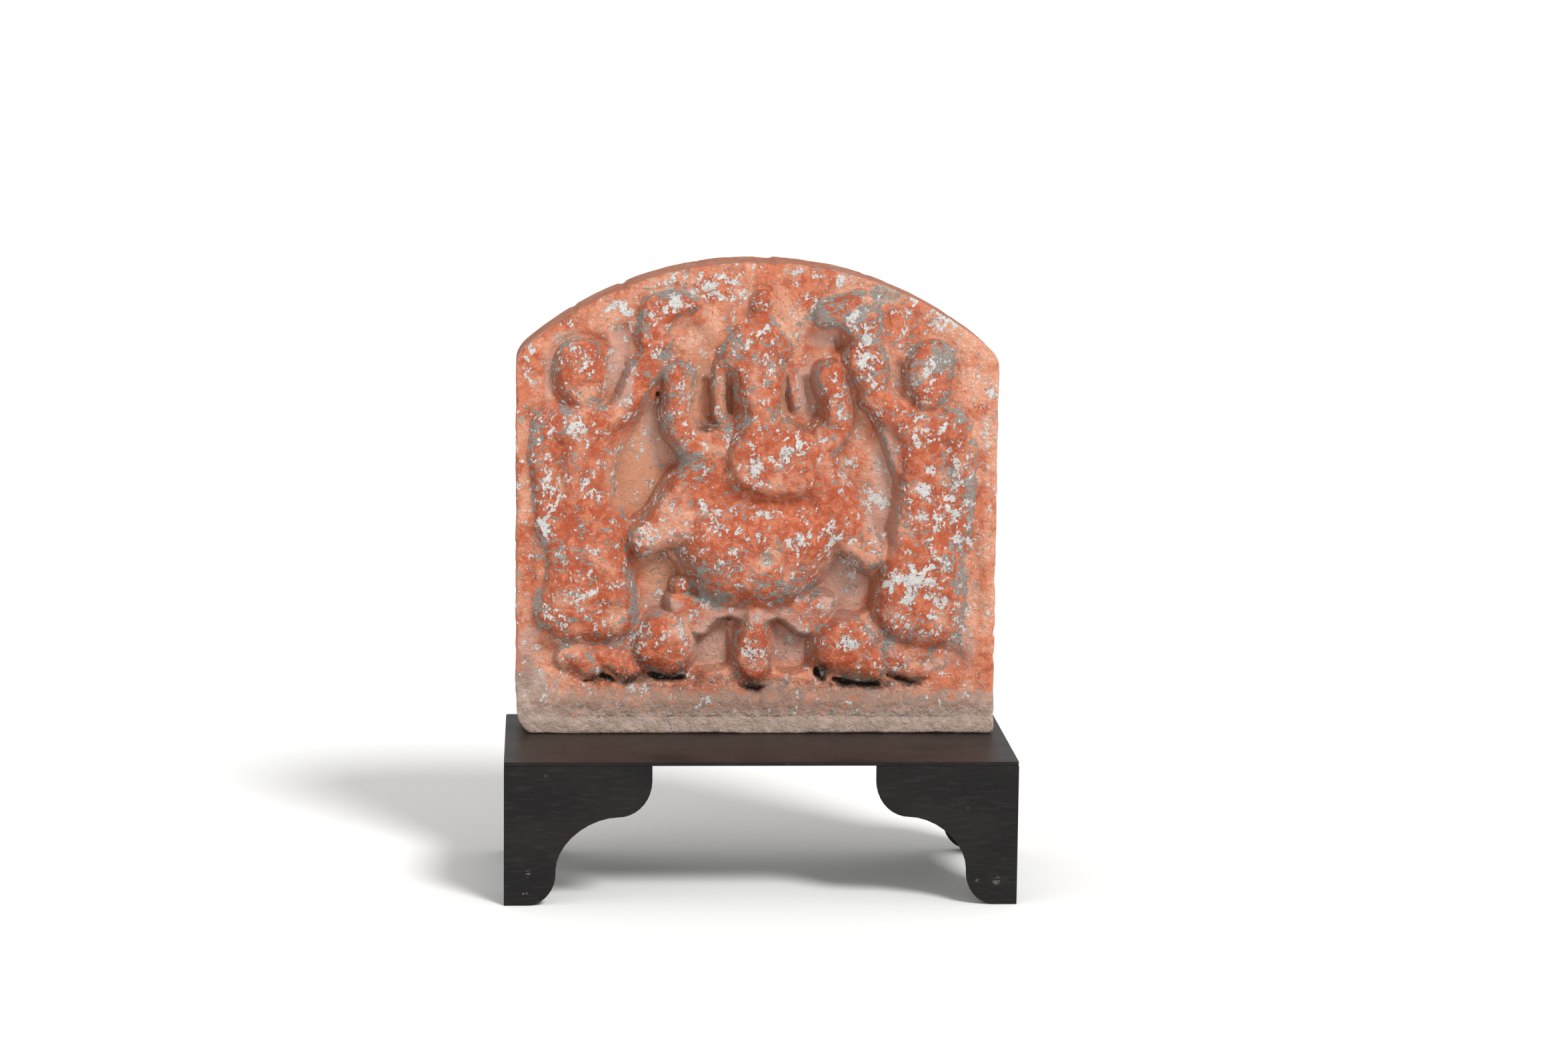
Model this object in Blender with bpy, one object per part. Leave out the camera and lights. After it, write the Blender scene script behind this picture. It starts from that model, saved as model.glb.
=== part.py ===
"""Carved relief stele with an arched top, standing on a low stand of welded steel plate.

Metres, +Z up. The origin is on the ground under the middle of the stand, the relief faces -Y, and
+X is to the viewer's right.

The relief is drawn in steps on a nominal face. A step is one millimetre while the slab keeps the
nominal size, and the drawing stretches with the slab. Heights are steps in front of the rim.
"""

import math

import bmesh
import bpy
import numpy as np

# Stand
STAND_WIDTH = 0.618
STAND_DEPTH = 0.300
STAND_HEIGHT = 0.1755
PLATE = 0.0048
TOP_CORNER_RADIUS = 0.004
BRACKET_WIDTH_LEFT = 0.1775
BRACKET_WIDTH_RIGHT = 0.1720
KNEE_DROP = 0.018
KNEE_RUN = 0.0405
KNEE_FALL = 0.0445
LEG_WIDTH = 0.0620
INSTEP_HEIGHT = 0.0440
INSTEP_FULLNESS = 1.8
TOE_RUN = 0.0350
TOE_HEIGHT = 0.0390
CURVE_STEPS = 9
SIDE_LEG_WIDTH = 0.060
SIDE_ARCH_HEIGHT = 0.112
SIDE_ARCH_STEPS = 20

# Slab
SLAB_WIDTH = 0.594
SLAB_HEIGHT = 0.584
SLAB_THICKNESS = 0.105
ARCH_RADIUS = 0.440
SLAB_SETBACK = 0.173
TOP_CORNER_ROUND = 0.012
BOTTOM_CORNER_ROUND = 0.008
BROKEN_CORNER_RUN = 0.019
BROKEN_CORNER_RISE = 0.026
FRONT_EDGE_ROUND = 0.006
BACK_EDGE_BEVEL = 0.006
RELIEF_DEPTH = 0.038

# Clearance that keeps touching pieces apart
GAP = 0.0003

# The nominal face that the relief is drawn on, in steps
FACE_WIDTH = 594.0
FACE_HEIGHT = 584.0
DEEPEST = 38.0

# Carving, in steps
GROUND = -22.0
SKIN = -9.0
HEAD_HALF_WIDTHS = {-1: 35.0, 1: 29.0}
RIGHT_SIDE_SHIFT = 8.0
EDGE_FULLNESS = 0.68
OUTER_FALL = 2.4
LIMB_BLEND = 3.0
FIGURE_BLEND = 8.0
GROUND_BLEND = 5.0
HAND_WANDER = 2.0
WANDER_SPACING = 34.0
TOOLING = 0.9
TOOLING_SPACING = 26.0
OUTLINE_GROOVE = 9.0
OUTLINE_GROOVE_WIDTH = 16.0
WALL_START = 0.35
LEDGE_FOOT = 40.0
LEDGE_TOP = 78.0
LEDGE_SLOPE = 0.45
BASE_LINE_HEIGHT = 22.0
BASE_LINE_WIDTH = 3.5
BASE_LINE_DEPTH = 1.2
WAVE_KNOTS = 96
SPAN_STEPS = 3
OVAL_POINTS = 12

# Mesh of the slab before it is thinned
COLUMNS = 150
ROWS = 150
KEPT_SHARE = 0.170


# Heights of the relief

def rounded(t):
    """Height share across an edge: 0 on the outline, 1 at the crest, and steeply down outside."""
    inside = np.clip(1.0 - (1.0 - np.clip(t, 0.0, 1.0)) ** 2, 0.0, 1.0) ** EDGE_FULLNESS
    return np.where(t > 0.0, inside, OUTER_FALL * t)


def eased(t):
    t = np.clip(t, 0.0, 1.0)
    return t * t * (3.0 - 2.0 * t)


def soft_max(a, b, blend):
    overlap = np.maximum(blend - np.abs(a - b), 0.0)
    return np.maximum(a, b) + overlap * overlap / (4.0 * blend)


def soft_min(a, b, blend):
    return -soft_max(-a, -b, blend)


def unevenness(x, z, spacing, seed):
    """Smooth random waves between -1 and 1, about one swell in each spacing."""
    knots = np.random.default_rng(seed).uniform(-1.0, 1.0, (WAVE_KNOTS, WAVE_KNOTS))
    column, row = x / spacing + 0.5 * WAVE_KNOTS, z / spacing
    left = np.floor(column).astype(int) % (WAVE_KNOTS - 1)
    low = np.floor(row).astype(int) % (WAVE_KNOTS - 1)
    u, v = eased(column - np.floor(column)), eased(row - np.floor(row))
    lower = knots[low, left] * (1.0 - u) + knots[low, left + 1] * u
    upper = knots[low + 1, left] * (1.0 - u) + knots[low + 1, left + 1] * u
    return lower * (1.0 - v) + upper * v


def distance_to(x, z, start, end):
    """Distance of each place from a straight run, and the share of the run where it is nearest."""
    run, rise = end[0] - start[0], end[1] - start[1]
    share = ((x - start[0]) * run + (z - start[1]) * rise) / max(run * run + rise * rise, 1e-9)
    share = np.clip(share, 0.0, 1.0)
    return np.hypot(x - start[0] - share * run, z - start[1] - share * rise), share


def inside_limb(line, x, z):
    """How far each place lies inside a limb, a line of (x, z, radius) points. Negative is outside."""
    best = np.full(x.shape, -1e9)
    line = line if len(line) > 1 else line * 2
    for start, end in zip(line[:-1], line[1:]):
        distance, share = distance_to(x, z, start, end)
        best = soft_max(best, start[2] + share * (end[2] - start[2]) - distance, LIMB_BLEND)
    return best


def curve_through(points):
    """Points of a closed smooth curve through the given ones."""
    at = np.array(points, float)
    before, after, beyond = np.roll(at, 1, 0), np.roll(at, -1, 0), np.roll(at, -2, 0)
    bend = 2.0 * before - 5.0 * at + 4.0 * after - beyond
    twist = 3.0 * at - before - 3.0 * after + beyond
    shares = [step / SPAN_STEPS for step in range(SPAN_STEPS)]
    spans = [0.5 * (2.0 * at + (after - before) * t + bend * t**2 + twist * t**3) for t in shares]
    return np.stack(spans, 1).reshape(-1, 2)


def inside_outline(points, x, z):
    """How far each place lies inside a closed curve through the points. Negative is outside."""
    curve = curve_through(points)
    nearest = np.full(x.shape, 1e9)
    crossed = np.zeros(x.shape, bool)
    for start, end in zip(curve, np.roll(curve, -1, 0)):
        nearest = np.minimum(nearest, distance_to(x, z, start, end)[0])
        if start[1] != end[1]:
            meets = start[0] + (z - start[1]) / (end[1] - start[1]) * (end[0] - start[0])
            crossed ^= ((start[1] > z) != (end[1] > z)) & (x < meets)
    return np.where(crossed, nearest, -nearest)


def inside_shape(shape, x, z):
    """How far each place lies inside a limb (three numbers a point) or an outline (two numbers)."""
    if len(shape[0]) == 3:
        return inside_limb(shape, x, z)
    return inside_outline(shape, x, z)


def on_side(side, points):
    """Points drawn outward from the middle, laid on one side. The right side sits a little further in."""
    inward = RIGHT_SIDE_SHIFT if side > 0 else 0.0
    return [(side * (point[0] - inward), *point[1:]) for point in points]


def symmetric(half):
    """An outline from its right half, which starts and ends on the middle line."""
    return half + [(-x, z) for x, z in reversed(half[1:-1])]


def oval(x, z, half_width, half_height, squareness=2.0):
    """An oval's outline, or a round-cornered box's where the squareness is over 2."""
    points = []
    for step in range(OVAL_POINTS):
        angle = math.tau * step / OVAL_POINTS
        across, up = math.cos(angle), math.sin(angle)
        points.append((
            x + half_width * math.copysign(abs(across) ** (2.0 / squareness), across),
            z + half_height * math.copysign(abs(up) ** (2.0 / squareness), up),
        ))
    return points


def attendant(side):
    """One standing attendant as (shape, crest, edge, foot) forms. side is -1 left or 1 right."""
    head_half_width = HEAD_HALF_WIDTHS[side]
    body = [(262, 404), (279, 388), (282, 350), (276, 300), (270, 262), (258, 228), (205, 222), (160, 230),
            (161, 262), (175, 305), (170, 342), (156, 370), (142, 392), (144, 412), (180, 413), (215, 409)]
    hanging_arm = [(262, 378, 17), (262, 342, 16), (257, 290, 15), (250, 243, 14)]
    trunk = [(209, 366, 28), (208, 300, 28), (205, 240, 37)]
    shoulders = [(255, 384, 19), (226, 387, 22), (184, 392, 19), (166, 404, 17), (152, 424, 18)]
    skirt = [(206, 248, 40), (207, 214, 50), (209, 172, 62)]
    hem_band = [(235, 104, 10), (165, 102, 12)]
    outer_toe = [(237, 90, 12)]
    middle_toe = [(222, 92, 12), (205, 81, 14)]
    inner_toe = [(172, 84, 12), (158, 79, 14)]
    forms = [
        (body, -8, 14, -27),
        (hanging_arm, 3, 13, SKIN),
        (trunk, 4, 18, SKIN),
        (shoulders, 6, 15, -14),
        (skirt, 9, 27, GROUND),
        (oval(218, 446, head_half_width, 46), 9, 18, GROUND),
        ([(146, 440, 20), (137, 458, 21)], 4, 15, -20),
        (hem_band, -6, 9, GROUND),
        (outer_toe, -2, 11, GROUND),
        (middle_toe, 3, 13, GROUND),
        (inner_toe, 2, 13, GROUND),
    ]
    return [(on_side(side, shape), crest, edge, foot) for shape, crest, edge, foot in forms]


def whisk(side):
    """The fly-whisk over a raised hand. It hooks towards the middle, and the right one ends in a knob."""
    handle = [(133, 460, 21), (130, 492, 17), (124, 516, 21)]
    hook = [(121, 526, 20), (104, 531, 18), (86, 529, 15)]
    forms = [(handle, 5, 15, GROUND), (hook, 5, 15, GROUND)]
    if side > 0:
        forms.append(([(122, 522, 26)], 11, 22, -4))
    return [([(side * x, z, radius) for x, z, radius in line], *heights) for line, *heights in forms]


def seated_side(side):
    """Ear, arms and foot on one side of the seated figure."""
    forms = [
        ([(46, 456, 8), (47, 425, 8), (45, 384, 8)], -8, 8, -28),
        ([(93, 445, 20), (97, 425, 18)], 4, 16, -20),
        ([(98, 425, 18), (100, 400, 18), (96, 378, 19), (82, 364, 21), (62, 355, 25)], 4, 16, -30),
        ([(98, 304, 25), (119, 276, 23), (139, 238, 18)], 5, 18, -30),
        (oval(114, 112, 43, 38), 8, 26, -24),
    ]
    return [([(side * point[0], *point[1:]) for point in shape], *heights) for shape, *heights in forms]


def seated_middle():
    """Crown, head, chest, bowl, trunk, belly and seat of the seated figure."""
    crown = symmetric([(0, 550), (10, 543), (12, 528), (18, 514), (32, 501), (43, 486), (47, 470), (40, 455),
                       (0, 448)])
    seat = symmetric([(0, 162), (60, 166), (97, 166), (96, 151), (81, 138), (62, 126), (50, 129), (38, 145),
                      (26, 148), (0, 140)])
    return [
        (crown, 1, 15, -20),
        ([(2, 534, 12)], 6, 11, -8),
        ([(-2, 479, 36)], 10, 28, -4),
        ([(0, 456, 30), (0, 434, 27), (2, 412, 23), (3, 396, 15)], 10, 20, -26),
        (oval(0, 308, 102, 83, 3.0), 0, 22, -30),
        (oval(0, 226, 101, 70, 2.5), 21, 58, -26),
        (oval(14, 344, 53, 48, 2.6), 16, 15, -12),
        ([(4, 400, 15), (-3, 374, 18), (-13, 348, 19), (-10, 327, 18), (8, 317, 13)], 20, 16, 6),
        ([(78, 370, 13), (78, 335, 13), (73, 308, 11)], 6, 12, -6),
        (seat, -3, 11, -26),
        ([(-3, 140, 15), (-5, 118, 21), (-5, 97, 25), (-3, 86, 24)], 6, 19, -26),
        ([(-92, 185, 11)], -13, 10, -32),
        ([(79, 161, 12)], -4, 11, -30),
    ]


def figure_forms():
    """Every raised form of the relief."""
    sides = [attendant(side) + whisk(side) + seated_side(side) for side in (-1, 1)]
    return sides[0] + sides[1] + seated_middle()


def side_hollows(side):
    """The hollows on one side as (shape, depth, edge, lean)."""
    kite = [(119, 422), (112, 386), (98, 356), (86, 335), (98, 324), (116, 312), (134, 286), (150, 258),
            (164, 256), (175, 284), (173, 318), (164, 348), (148, 380), (132, 405)]
    arch = [(112, 231), (126, 216), (138, 200), (146, 180), (144, 162), (126, 152), (98, 156), (84, 172),
            (90, 192), (102, 214)]
    niche = [(78, 460), (60, 463), (54, 440), (53, 415), (51, 392), (60, 380), (78, 384), (86, 400),
             (80, 422), (70, 440)]
    panel = [(76, 131), (60, 125), (47, 132), (38, 145), (32, 140), (30, 110), (31, 84), (50, 79), (74, 84),
             (77, 108)]
    forms = [
        (kite, 35, 14, 0.22),
        (arch, 33, 11, 0.0),
        (niche, 28, 9, 0.0),
        ([(34, 450, 6), (34, 401, 7)], 27, 7, 0.0),
        ([(168, 492, 14), (172, 430, 12)], 20, 16, 0.0),
        ([(84, 496, 20), (62, 474, 22)], 18, 24, 0.0),
    ]
    shifted = [
        (panel, 29, 9, 0.0),
        ([(216, 446, 48)], 13, 18, 0.0),
        ([(278, 250, 10), (281, 150, 12), (272, 110, 12)], 12, 14, 0.0),
    ]
    plain = [([(side * point[0], *point[1:]) for point in shape], *rest) for shape, *rest in forms]
    return plain + [(on_side(side, shape), *rest) for shape, *rest in shifted]


def hollow_forms():
    """Every hollow behind and under the figures."""
    shared = [
        ([(-70, 400, 90), (70, 400, 90)], 16, 34, 0.0),
        ([(-60, 250, 150), (60, 250, 150)], 20, 40, 0.0),
        ([(-262, 96, 22), (246, 92, 22)], 17, 26, 0.0),
        ([(-194, 75, 7), (-172, 73, 7)], 30, 8, 0.0),
        ([(-132, 78, 7), (-90, 73, 8)], 30, 8, 0.0),
        ([(94, 69, 7), (152, 61, 7)], 30, 8, 0.0),
        ([(166, 71, 7), (206, 64, 6)], 30, 8, 0.0),
    ]
    return shared + side_hollows(-1) + side_hollows(1)


def relief_height(x, z):
    """Height of the carved face over the rim, in steps, at points of the nominal face."""
    u = x + HAND_WANDER * unevenness(x, z, WANDER_SPACING, 3)
    v = z + HAND_WANDER * unevenness(x, z, WANDER_SPACING, 5)
    figures = np.full(x.shape, -1e3)
    nearest = np.full(x.shape, -1e3)
    for shape, crest, edge, foot in figure_forms():
        inside = inside_shape(shape, u, v)
        nearest = np.maximum(nearest, inside)
        figures = soft_max(figures, foot + (crest - foot) * rounded(inside / edge), FIGURE_BLEND)

    groove = -OUTLINE_GROOVE * (1.0 - eased(-nearest / OUTLINE_GROOVE_WIDTH))
    ground = soft_min(np.zeros(x.shape), groove, GROUND_BLEND)
    for shape, depth, edge, lean in hollow_forms():
        middle = sum(point[0] for point in shape) / len(shape)
        floor = depth + lean * (u - middle)
        ground = soft_min(ground, -floor * eased(inside_shape(shape, u, v) / edge + WALL_START), GROUND_BLEND)

    ledge = LEDGE_SLOPE * (LEDGE_FOOT - v)
    ground = np.where(v < LEDGE_TOP, soft_max(ground, np.minimum(ledge, 0.0), LIMB_BLEND), ground)
    scored = np.exp(-(((v - BASE_LINE_HEIGHT) / BASE_LINE_WIDTH) ** 2))
    surface = soft_max(ground - BASE_LINE_DEPTH * scored, figures, GROUND_BLEND)
    return surface + TOOLING * unevenness(x, z, TOOLING_SPACING, 8)


# Slab

def arch_height(x):
    """Height of the slab's top over its bottom at x, with its two shoulders rounded."""
    half = 0.5 * SLAB_WIDTH
    height = SLAB_HEIGHT - ARCH_RADIUS + np.sqrt(np.maximum(ARCH_RADIUS**2 - x**2, 0.0))
    past = np.clip(np.abs(x) - (half - TOP_CORNER_ROUND), 0.0, TOP_CORNER_ROUND)
    return height - (TOP_CORNER_ROUND - np.sqrt(TOP_CORNER_ROUND**2 - past**2))


def bottom_height(x):
    """Height of the slab's lower edge at x: the right corner is worn round, the left one broken off."""
    half = 0.5 * SLAB_WIDTH
    worn = np.clip(x - (half - BOTTOM_CORNER_ROUND), 0.0, BOTTOM_CORNER_ROUND)
    right = BOTTOM_CORNER_ROUND - np.sqrt(BOTTOM_CORNER_ROUND**2 - worn**2)
    broken = np.clip((BROKEN_CORNER_RUN - (x + half)) / BROKEN_CORNER_RUN, 0.0, 1.0)
    return right + BROKEN_CORNER_RISE * broken**1.7


def front_depth(x, z):
    """How far the carved face lies behind the rim plane, positive backwards, with worn edges."""
    steps = relief_height(x * FACE_WIDTH / SLAB_WIDTH, z * FACE_HEIGHT / SLAB_HEIGHT)
    to_side = 0.5 * SLAB_WIDTH - np.abs(x)
    to_top = arch_height(x) - z
    to_bottom = z - bottom_height(x)
    to_edge = np.minimum(np.minimum(to_side, to_top), to_bottom)
    worn = np.clip(FRONT_EDGE_ROUND - to_edge, 0.0, FRONT_EDGE_ROUND)
    rounding = FRONT_EDGE_ROUND - np.sqrt(FRONT_EDGE_ROUND**2 - worn**2)
    return rounding - steps * RELIEF_DEPTH / DEEPEST


def make_stele():
    """The slab and its relief as one closed solid: a bent grid in front, its border pushed back."""
    mesh = bmesh.new()
    bmesh.ops.create_grid(mesh, x_segments=COLUMNS, y_segments=ROWS, size=0.5)
    mesh.verts.ensure_lookup_table()
    flat = np.array([vertex.co[:2] for vertex in mesh.verts])
    x = flat[:, 0] * SLAB_WIDTH
    low, high = bottom_height(x), arch_height(x)
    z = low + (flat[:, 1] + 0.5) * (high - low)
    front = -0.5 * STAND_DEPTH + SLAB_SETBACK
    y = front + front_depth(x, z)
    lift = STAND_HEIGHT + GAP
    for vertex, place in zip(mesh.verts, zip(x, y, z + lift)):
        vertex.co = place

    border = [edge for edge in mesh.edges if edge.is_boundary]
    back = front + SLAB_THICKNESS
    for depth, inset in ((back - BACK_EDGE_BEVEL, 0.0), (back, BACK_EDGE_BEVEL)):
        made = bmesh.ops.extrude_edge_only(mesh, edges=border)["geom"]
        border = [item for item in made if isinstance(item, bmesh.types.BMEdge)]
        ring = {vertex for edge in border for vertex in edge.verts}
        middle_height = lift + 0.5 * SLAB_HEIGHT
        for vertex in ring:
            vertex.co.y = depth
            vertex.co.x *= 1.0 - inset / (0.5 * SLAB_WIDTH)
            vertex.co.z = middle_height + (vertex.co.z - middle_height) * (1.0 - inset / (0.5 * SLAB_HEIGHT))
    bmesh.ops.triangle_fill(mesh, edges=border, use_beauty=True)
    bmesh.ops.recalc_face_normals(mesh, faces=mesh.faces)

    stele = new_object("stele", mesh, painted_stone())
    thin = stele.modifiers.new("Thin", "DECIMATE")
    thin.ratio = KEPT_SHARE
    thin.use_collapse_triangulate = True
    return stele


# Stand

def quarter(start, end, bulge_first, fullness=2.0):
    """Points after start on a quarter of an oval to end. bulge_first names the axis it leaves along."""
    points = []
    for step in range(1, CURVE_STEPS + 1):
        angle = 0.5 * math.pi * step / CURVE_STEPS
        far, near = math.sin(angle) ** (2.0 / fullness), 1.0 - math.cos(angle) ** (2.0 / fullness)
        along_u, along_v = (far, near) if bulge_first == "u" else (near, far)
        points.append((start[0] + (end[0] - start[0]) * along_u, start[1] + (end[1] - start[1]) * along_v))
    return points


def bracket_outline(width):
    """Outline of a bracket plate as (distance from its outer edge, height), clockwise from the ground."""
    top = STAND_HEIGHT - PLATE - GAP
    knee = (width, top - KNEE_DROP)
    under_knee = (width - KNEE_RUN, knee[1] - KNEE_FALL)
    ankle = (LEG_WIDTH, INSTEP_HEIGHT)
    toe_start = (LEG_WIDTH, TOE_HEIGHT)
    toe_end = (LEG_WIDTH - TOE_RUN, 0.0)
    return (
        [(0.0, 0.0), (0.0, top), (width, top), knee]
        + quarter(knee, under_knee, "v")
        + quarter(under_knee, ankle, "u", INSTEP_FULLNESS)
        + [toe_start]
        + quarter(toe_start, toe_end, "v")
    )


def side_outline():
    """Outline of an end plate between the brackets, as (distance from its front edge, height)."""
    top = STAND_HEIGHT - PLATE - GAP
    length = STAND_DEPTH - 2.0 * (PLATE + GAP)
    half_span = 0.5 * length - SIDE_LEG_WIDTH
    arch = []
    for step in range(SIDE_ARCH_STEPS + 1):
        angle = math.pi * step / SIDE_ARCH_STEPS
        arch.append((0.5 * length + half_span * math.cos(angle), SIDE_ARCH_HEIGHT * math.sin(angle)))
    return [(0.0, 0.0), (0.0, top), (length, top), (length, 0.0)] + arch


def plate_object(name, outline, place):
    """A flat plate: its outline filled and pushed through one plate thickness. place maps (u, v, w)."""
    mesh = bmesh.new()
    face = mesh.faces.new([mesh.verts.new((u, v, 0.0)) for u, v in outline])
    pushed = bmesh.ops.extrude_face_region(mesh, geom=[face])["geom"]
    for item in pushed:
        if isinstance(item, bmesh.types.BMVert):
            item.co.z = PLATE
    for vertex in mesh.verts:
        vertex.co = place(*vertex.co)
    bmesh.ops.triangulate(mesh, faces=mesh.faces)
    bmesh.ops.recalc_face_normals(mesh, faces=mesh.faces)
    return new_object(name, mesh, black_steel())


def make_bracket(name, side, end, width):
    """A bracket plate. side is -1 left or 1 right, end is -1 front or 1 rear."""
    outer, face = side * 0.5 * STAND_WIDTH, end * 0.5 * STAND_DEPTH
    return plate_object(
        name, bracket_outline(width), lambda u, v, w: (outer - side * u, face - end * w, v)
    )


def make_side(name, side):
    outer = side * 0.5 * STAND_WIDTH
    front = -0.5 * STAND_DEPTH + PLATE + GAP
    return plate_object(name, side_outline(), lambda u, v, w: (outer - side * w, front + u, v))


def make_top():
    """The top plate, with its four corners ground a little round."""
    corner_steps = 4
    half_width, half_depth = 0.5 * STAND_WIDTH, 0.5 * STAND_DEPTH
    outline = []
    for quadrant, (sign_x, sign_y) in enumerate(((1, 1), (-1, 1), (-1, -1), (1, -1))):
        centre_x = sign_x * (half_width - TOP_CORNER_RADIUS)
        centre_y = sign_y * (half_depth - TOP_CORNER_RADIUS)
        for step in range(corner_steps + 1):
            angle = 0.5 * math.pi * (quadrant + step / corner_steps)
            outline.append((centre_x + TOP_CORNER_RADIUS * math.cos(angle),
                            centre_y + TOP_CORNER_RADIUS * math.sin(angle)))
    return plate_object("stand_top", outline, lambda u, v, w: (u, v, STAND_HEIGHT - w))


# Materials and scene

def principled(name, colour, roughness, metallic):
    material = bpy.data.materials.get(name) or bpy.data.materials.new(name)
    material.use_nodes = True
    shader = material.node_tree.nodes["Principled BSDF"]
    shader.inputs["Base Color"].default_value = (*colour, 1.0)
    shader.inputs["Roughness"].default_value = roughness
    shader.inputs["Metallic"].default_value = metallic
    return material


def painted_stone():
    return principled("vermilion_painted_stone", (0.66, 0.13, 0.055), 0.75, 0.0)


def black_steel():
    return principled("black_painted_steel", (0.028, 0.027, 0.026), 0.45, 0.0)


def new_object(name, mesh, material):
    data = bpy.data.meshes.new(name)
    mesh.to_mesh(data)
    mesh.free()
    data.materials.append(material)
    item = bpy.data.objects.new(name, data)
    bpy.context.scene.collection.objects.link(item)
    return item


def clear_scene():
    for item in list(bpy.data.objects):
        bpy.data.objects.remove(item)


def main():
    clear_scene()
    make_stele()
    make_top()
    for end, end_name in ((-1, "front"), (1, "rear")):
        make_bracket(f"stand_bracket_{end_name}_left", -1, end, BRACKET_WIDTH_LEFT)
        make_bracket(f"stand_bracket_{end_name}_right", 1, end, BRACKET_WIDTH_RIGHT)
    make_side("stand_side_left", -1)
    make_side("stand_side_right", 1)


main()
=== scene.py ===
"""Looks of a carved relief stele of painted sandstone, on its low stand of black steel plate.

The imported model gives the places. The slab is carved anew with finer forms in the same place, and
the stand's plates get ground edges. Lengths are metres, and the relief is drawn in millimetres on
the slab's face, with x from its middle, z up from its bottom and heights in front of its rim.
"""

import logging
import math
from dataclasses import dataclass, field
from enum import Enum

import bpy
import numpy as np
from mathutils import Matrix, Vector


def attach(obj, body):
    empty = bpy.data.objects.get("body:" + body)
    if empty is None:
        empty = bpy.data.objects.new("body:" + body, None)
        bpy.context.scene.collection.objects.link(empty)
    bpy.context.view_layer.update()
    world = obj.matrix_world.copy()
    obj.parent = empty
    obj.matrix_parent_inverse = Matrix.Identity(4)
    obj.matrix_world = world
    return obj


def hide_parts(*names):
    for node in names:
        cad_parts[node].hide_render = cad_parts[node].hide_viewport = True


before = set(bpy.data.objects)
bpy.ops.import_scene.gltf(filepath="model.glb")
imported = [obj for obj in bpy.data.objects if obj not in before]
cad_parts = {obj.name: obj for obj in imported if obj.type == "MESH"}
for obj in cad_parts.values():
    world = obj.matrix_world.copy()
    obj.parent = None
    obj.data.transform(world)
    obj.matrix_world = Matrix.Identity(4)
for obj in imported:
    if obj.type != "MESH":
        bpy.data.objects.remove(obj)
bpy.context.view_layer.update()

log = logging.getLogger("stele")
MM = 0.001
Point = tuple[float, ...]
Socket = bpy.types.NodeSocket
KNOTS = 96  # random heights along each side of a wave pattern
KNOT_SHIFT = (40.0, 12.0)  # keeps every place on the slab off the pattern's seam
CREST_POWER = 0.68  # how full a form's rounding is
OUTER_SLOPE = 2.4  # how steeply a form falls off outside its outline
HAIR = 1e-6  # nearer than this counts as on the edge


def linear(code: str) -> tuple[float, float, float, float]:
    """Turn an sRGB hex colour into linear light.

    Args:
        code: Six hex digits, with or without a leading mark.

    Returns:
        Red, green, blue and an alpha of 1.
    """
    channels = [int(code.lstrip("#")[start:start + 2], 16) / 255.0 for start in (0, 2, 4)]
    light = [c / 12.92 if c <= 0.04045 else ((c + 0.055) / 1.055) ** 2.4 for c in channels]
    return (light[0], light[1], light[2], 1.0)


def deselect() -> None:
    """Leave nothing selected, so that the next operator acts on its own object alone."""
    if bpy.context.mode != "OBJECT":
        bpy.ops.object.mode_set(mode="OBJECT")
    bpy.ops.object.select_all(action="DESELECT")


def activate(piece: bpy.types.Object) -> None:
    """Select one object alone and make it the active one.

    Args:
        piece: The object.
    """
    deselect()
    piece.select_set(True)
    bpy.context.view_layer.objects.active = piece


def apply_modifiers(piece: bpy.types.Object) -> None:
    """Apply every modifier of a piece, in order.

    Args:
        piece: The piece.
    """
    activate(piece)
    for modifier in list(piece.modifiers):
        bpy.ops.object.modifier_apply(modifier=modifier.name)


# Carving


class Kind(Enum):
    """How a form's points are read."""

    LIMB = "a line of points, each with its own radius"
    OUTLINE = "a closed curve through the points"


@dataclass(frozen=True)
class Form:
    """A raised form of the relief.

    Attributes:
        points: Its limb or outline.
        crest: Height of its top over the rim.
        edge: How far in from the outline the rounding reaches.
        foot: Height at which its outline stands.
    """

    points: list[Point]
    crest: float
    edge: float
    foot: float


@dataclass(frozen=True)
class Hollow:
    """A hollow behind the figures.

    Attributes:
        points: Its limb or outline.
        depth: Depth of the middle of its floor under the rim.
        edge: Width of its wall.
        lean: How much deeper the floor gets for each millimetre to the right.
    """

    points: list[Point]
    depth: float
    edge: float
    lean: float = 0.0


def eased(t: np.ndarray) -> np.ndarray:
    """Ease a share from 0 to 1 in and out."""
    t = np.clip(t, 0.0, 1.0)
    return t * t * (3.0 - 2.0 * t)


def rounded(t: np.ndarray) -> np.ndarray:
    """Height share across an edge: 0 on the outline, 1 at the crest, and steeply down outside."""
    inside = np.clip(1.0 - (1.0 - np.clip(t, 0.0, 1.0)) ** 2, 0.0, 1.0) ** CREST_POWER
    return np.where(t > 0.0, inside, OUTER_SLOPE * t)


def soft_max(a: np.ndarray, b: np.ndarray, blend: float) -> np.ndarray:
    """Greater of two heights, with a fillet of about the blend where they meet."""
    overlap = np.maximum(blend - np.abs(a - b), 0.0)
    return np.maximum(a, b) + overlap * overlap / (4.0 * blend)


def soft_min(a: np.ndarray, b: np.ndarray, blend: float) -> np.ndarray:
    """Lesser of two heights, with a fillet where they meet."""
    return -soft_max(-a, -b, blend)


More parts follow.
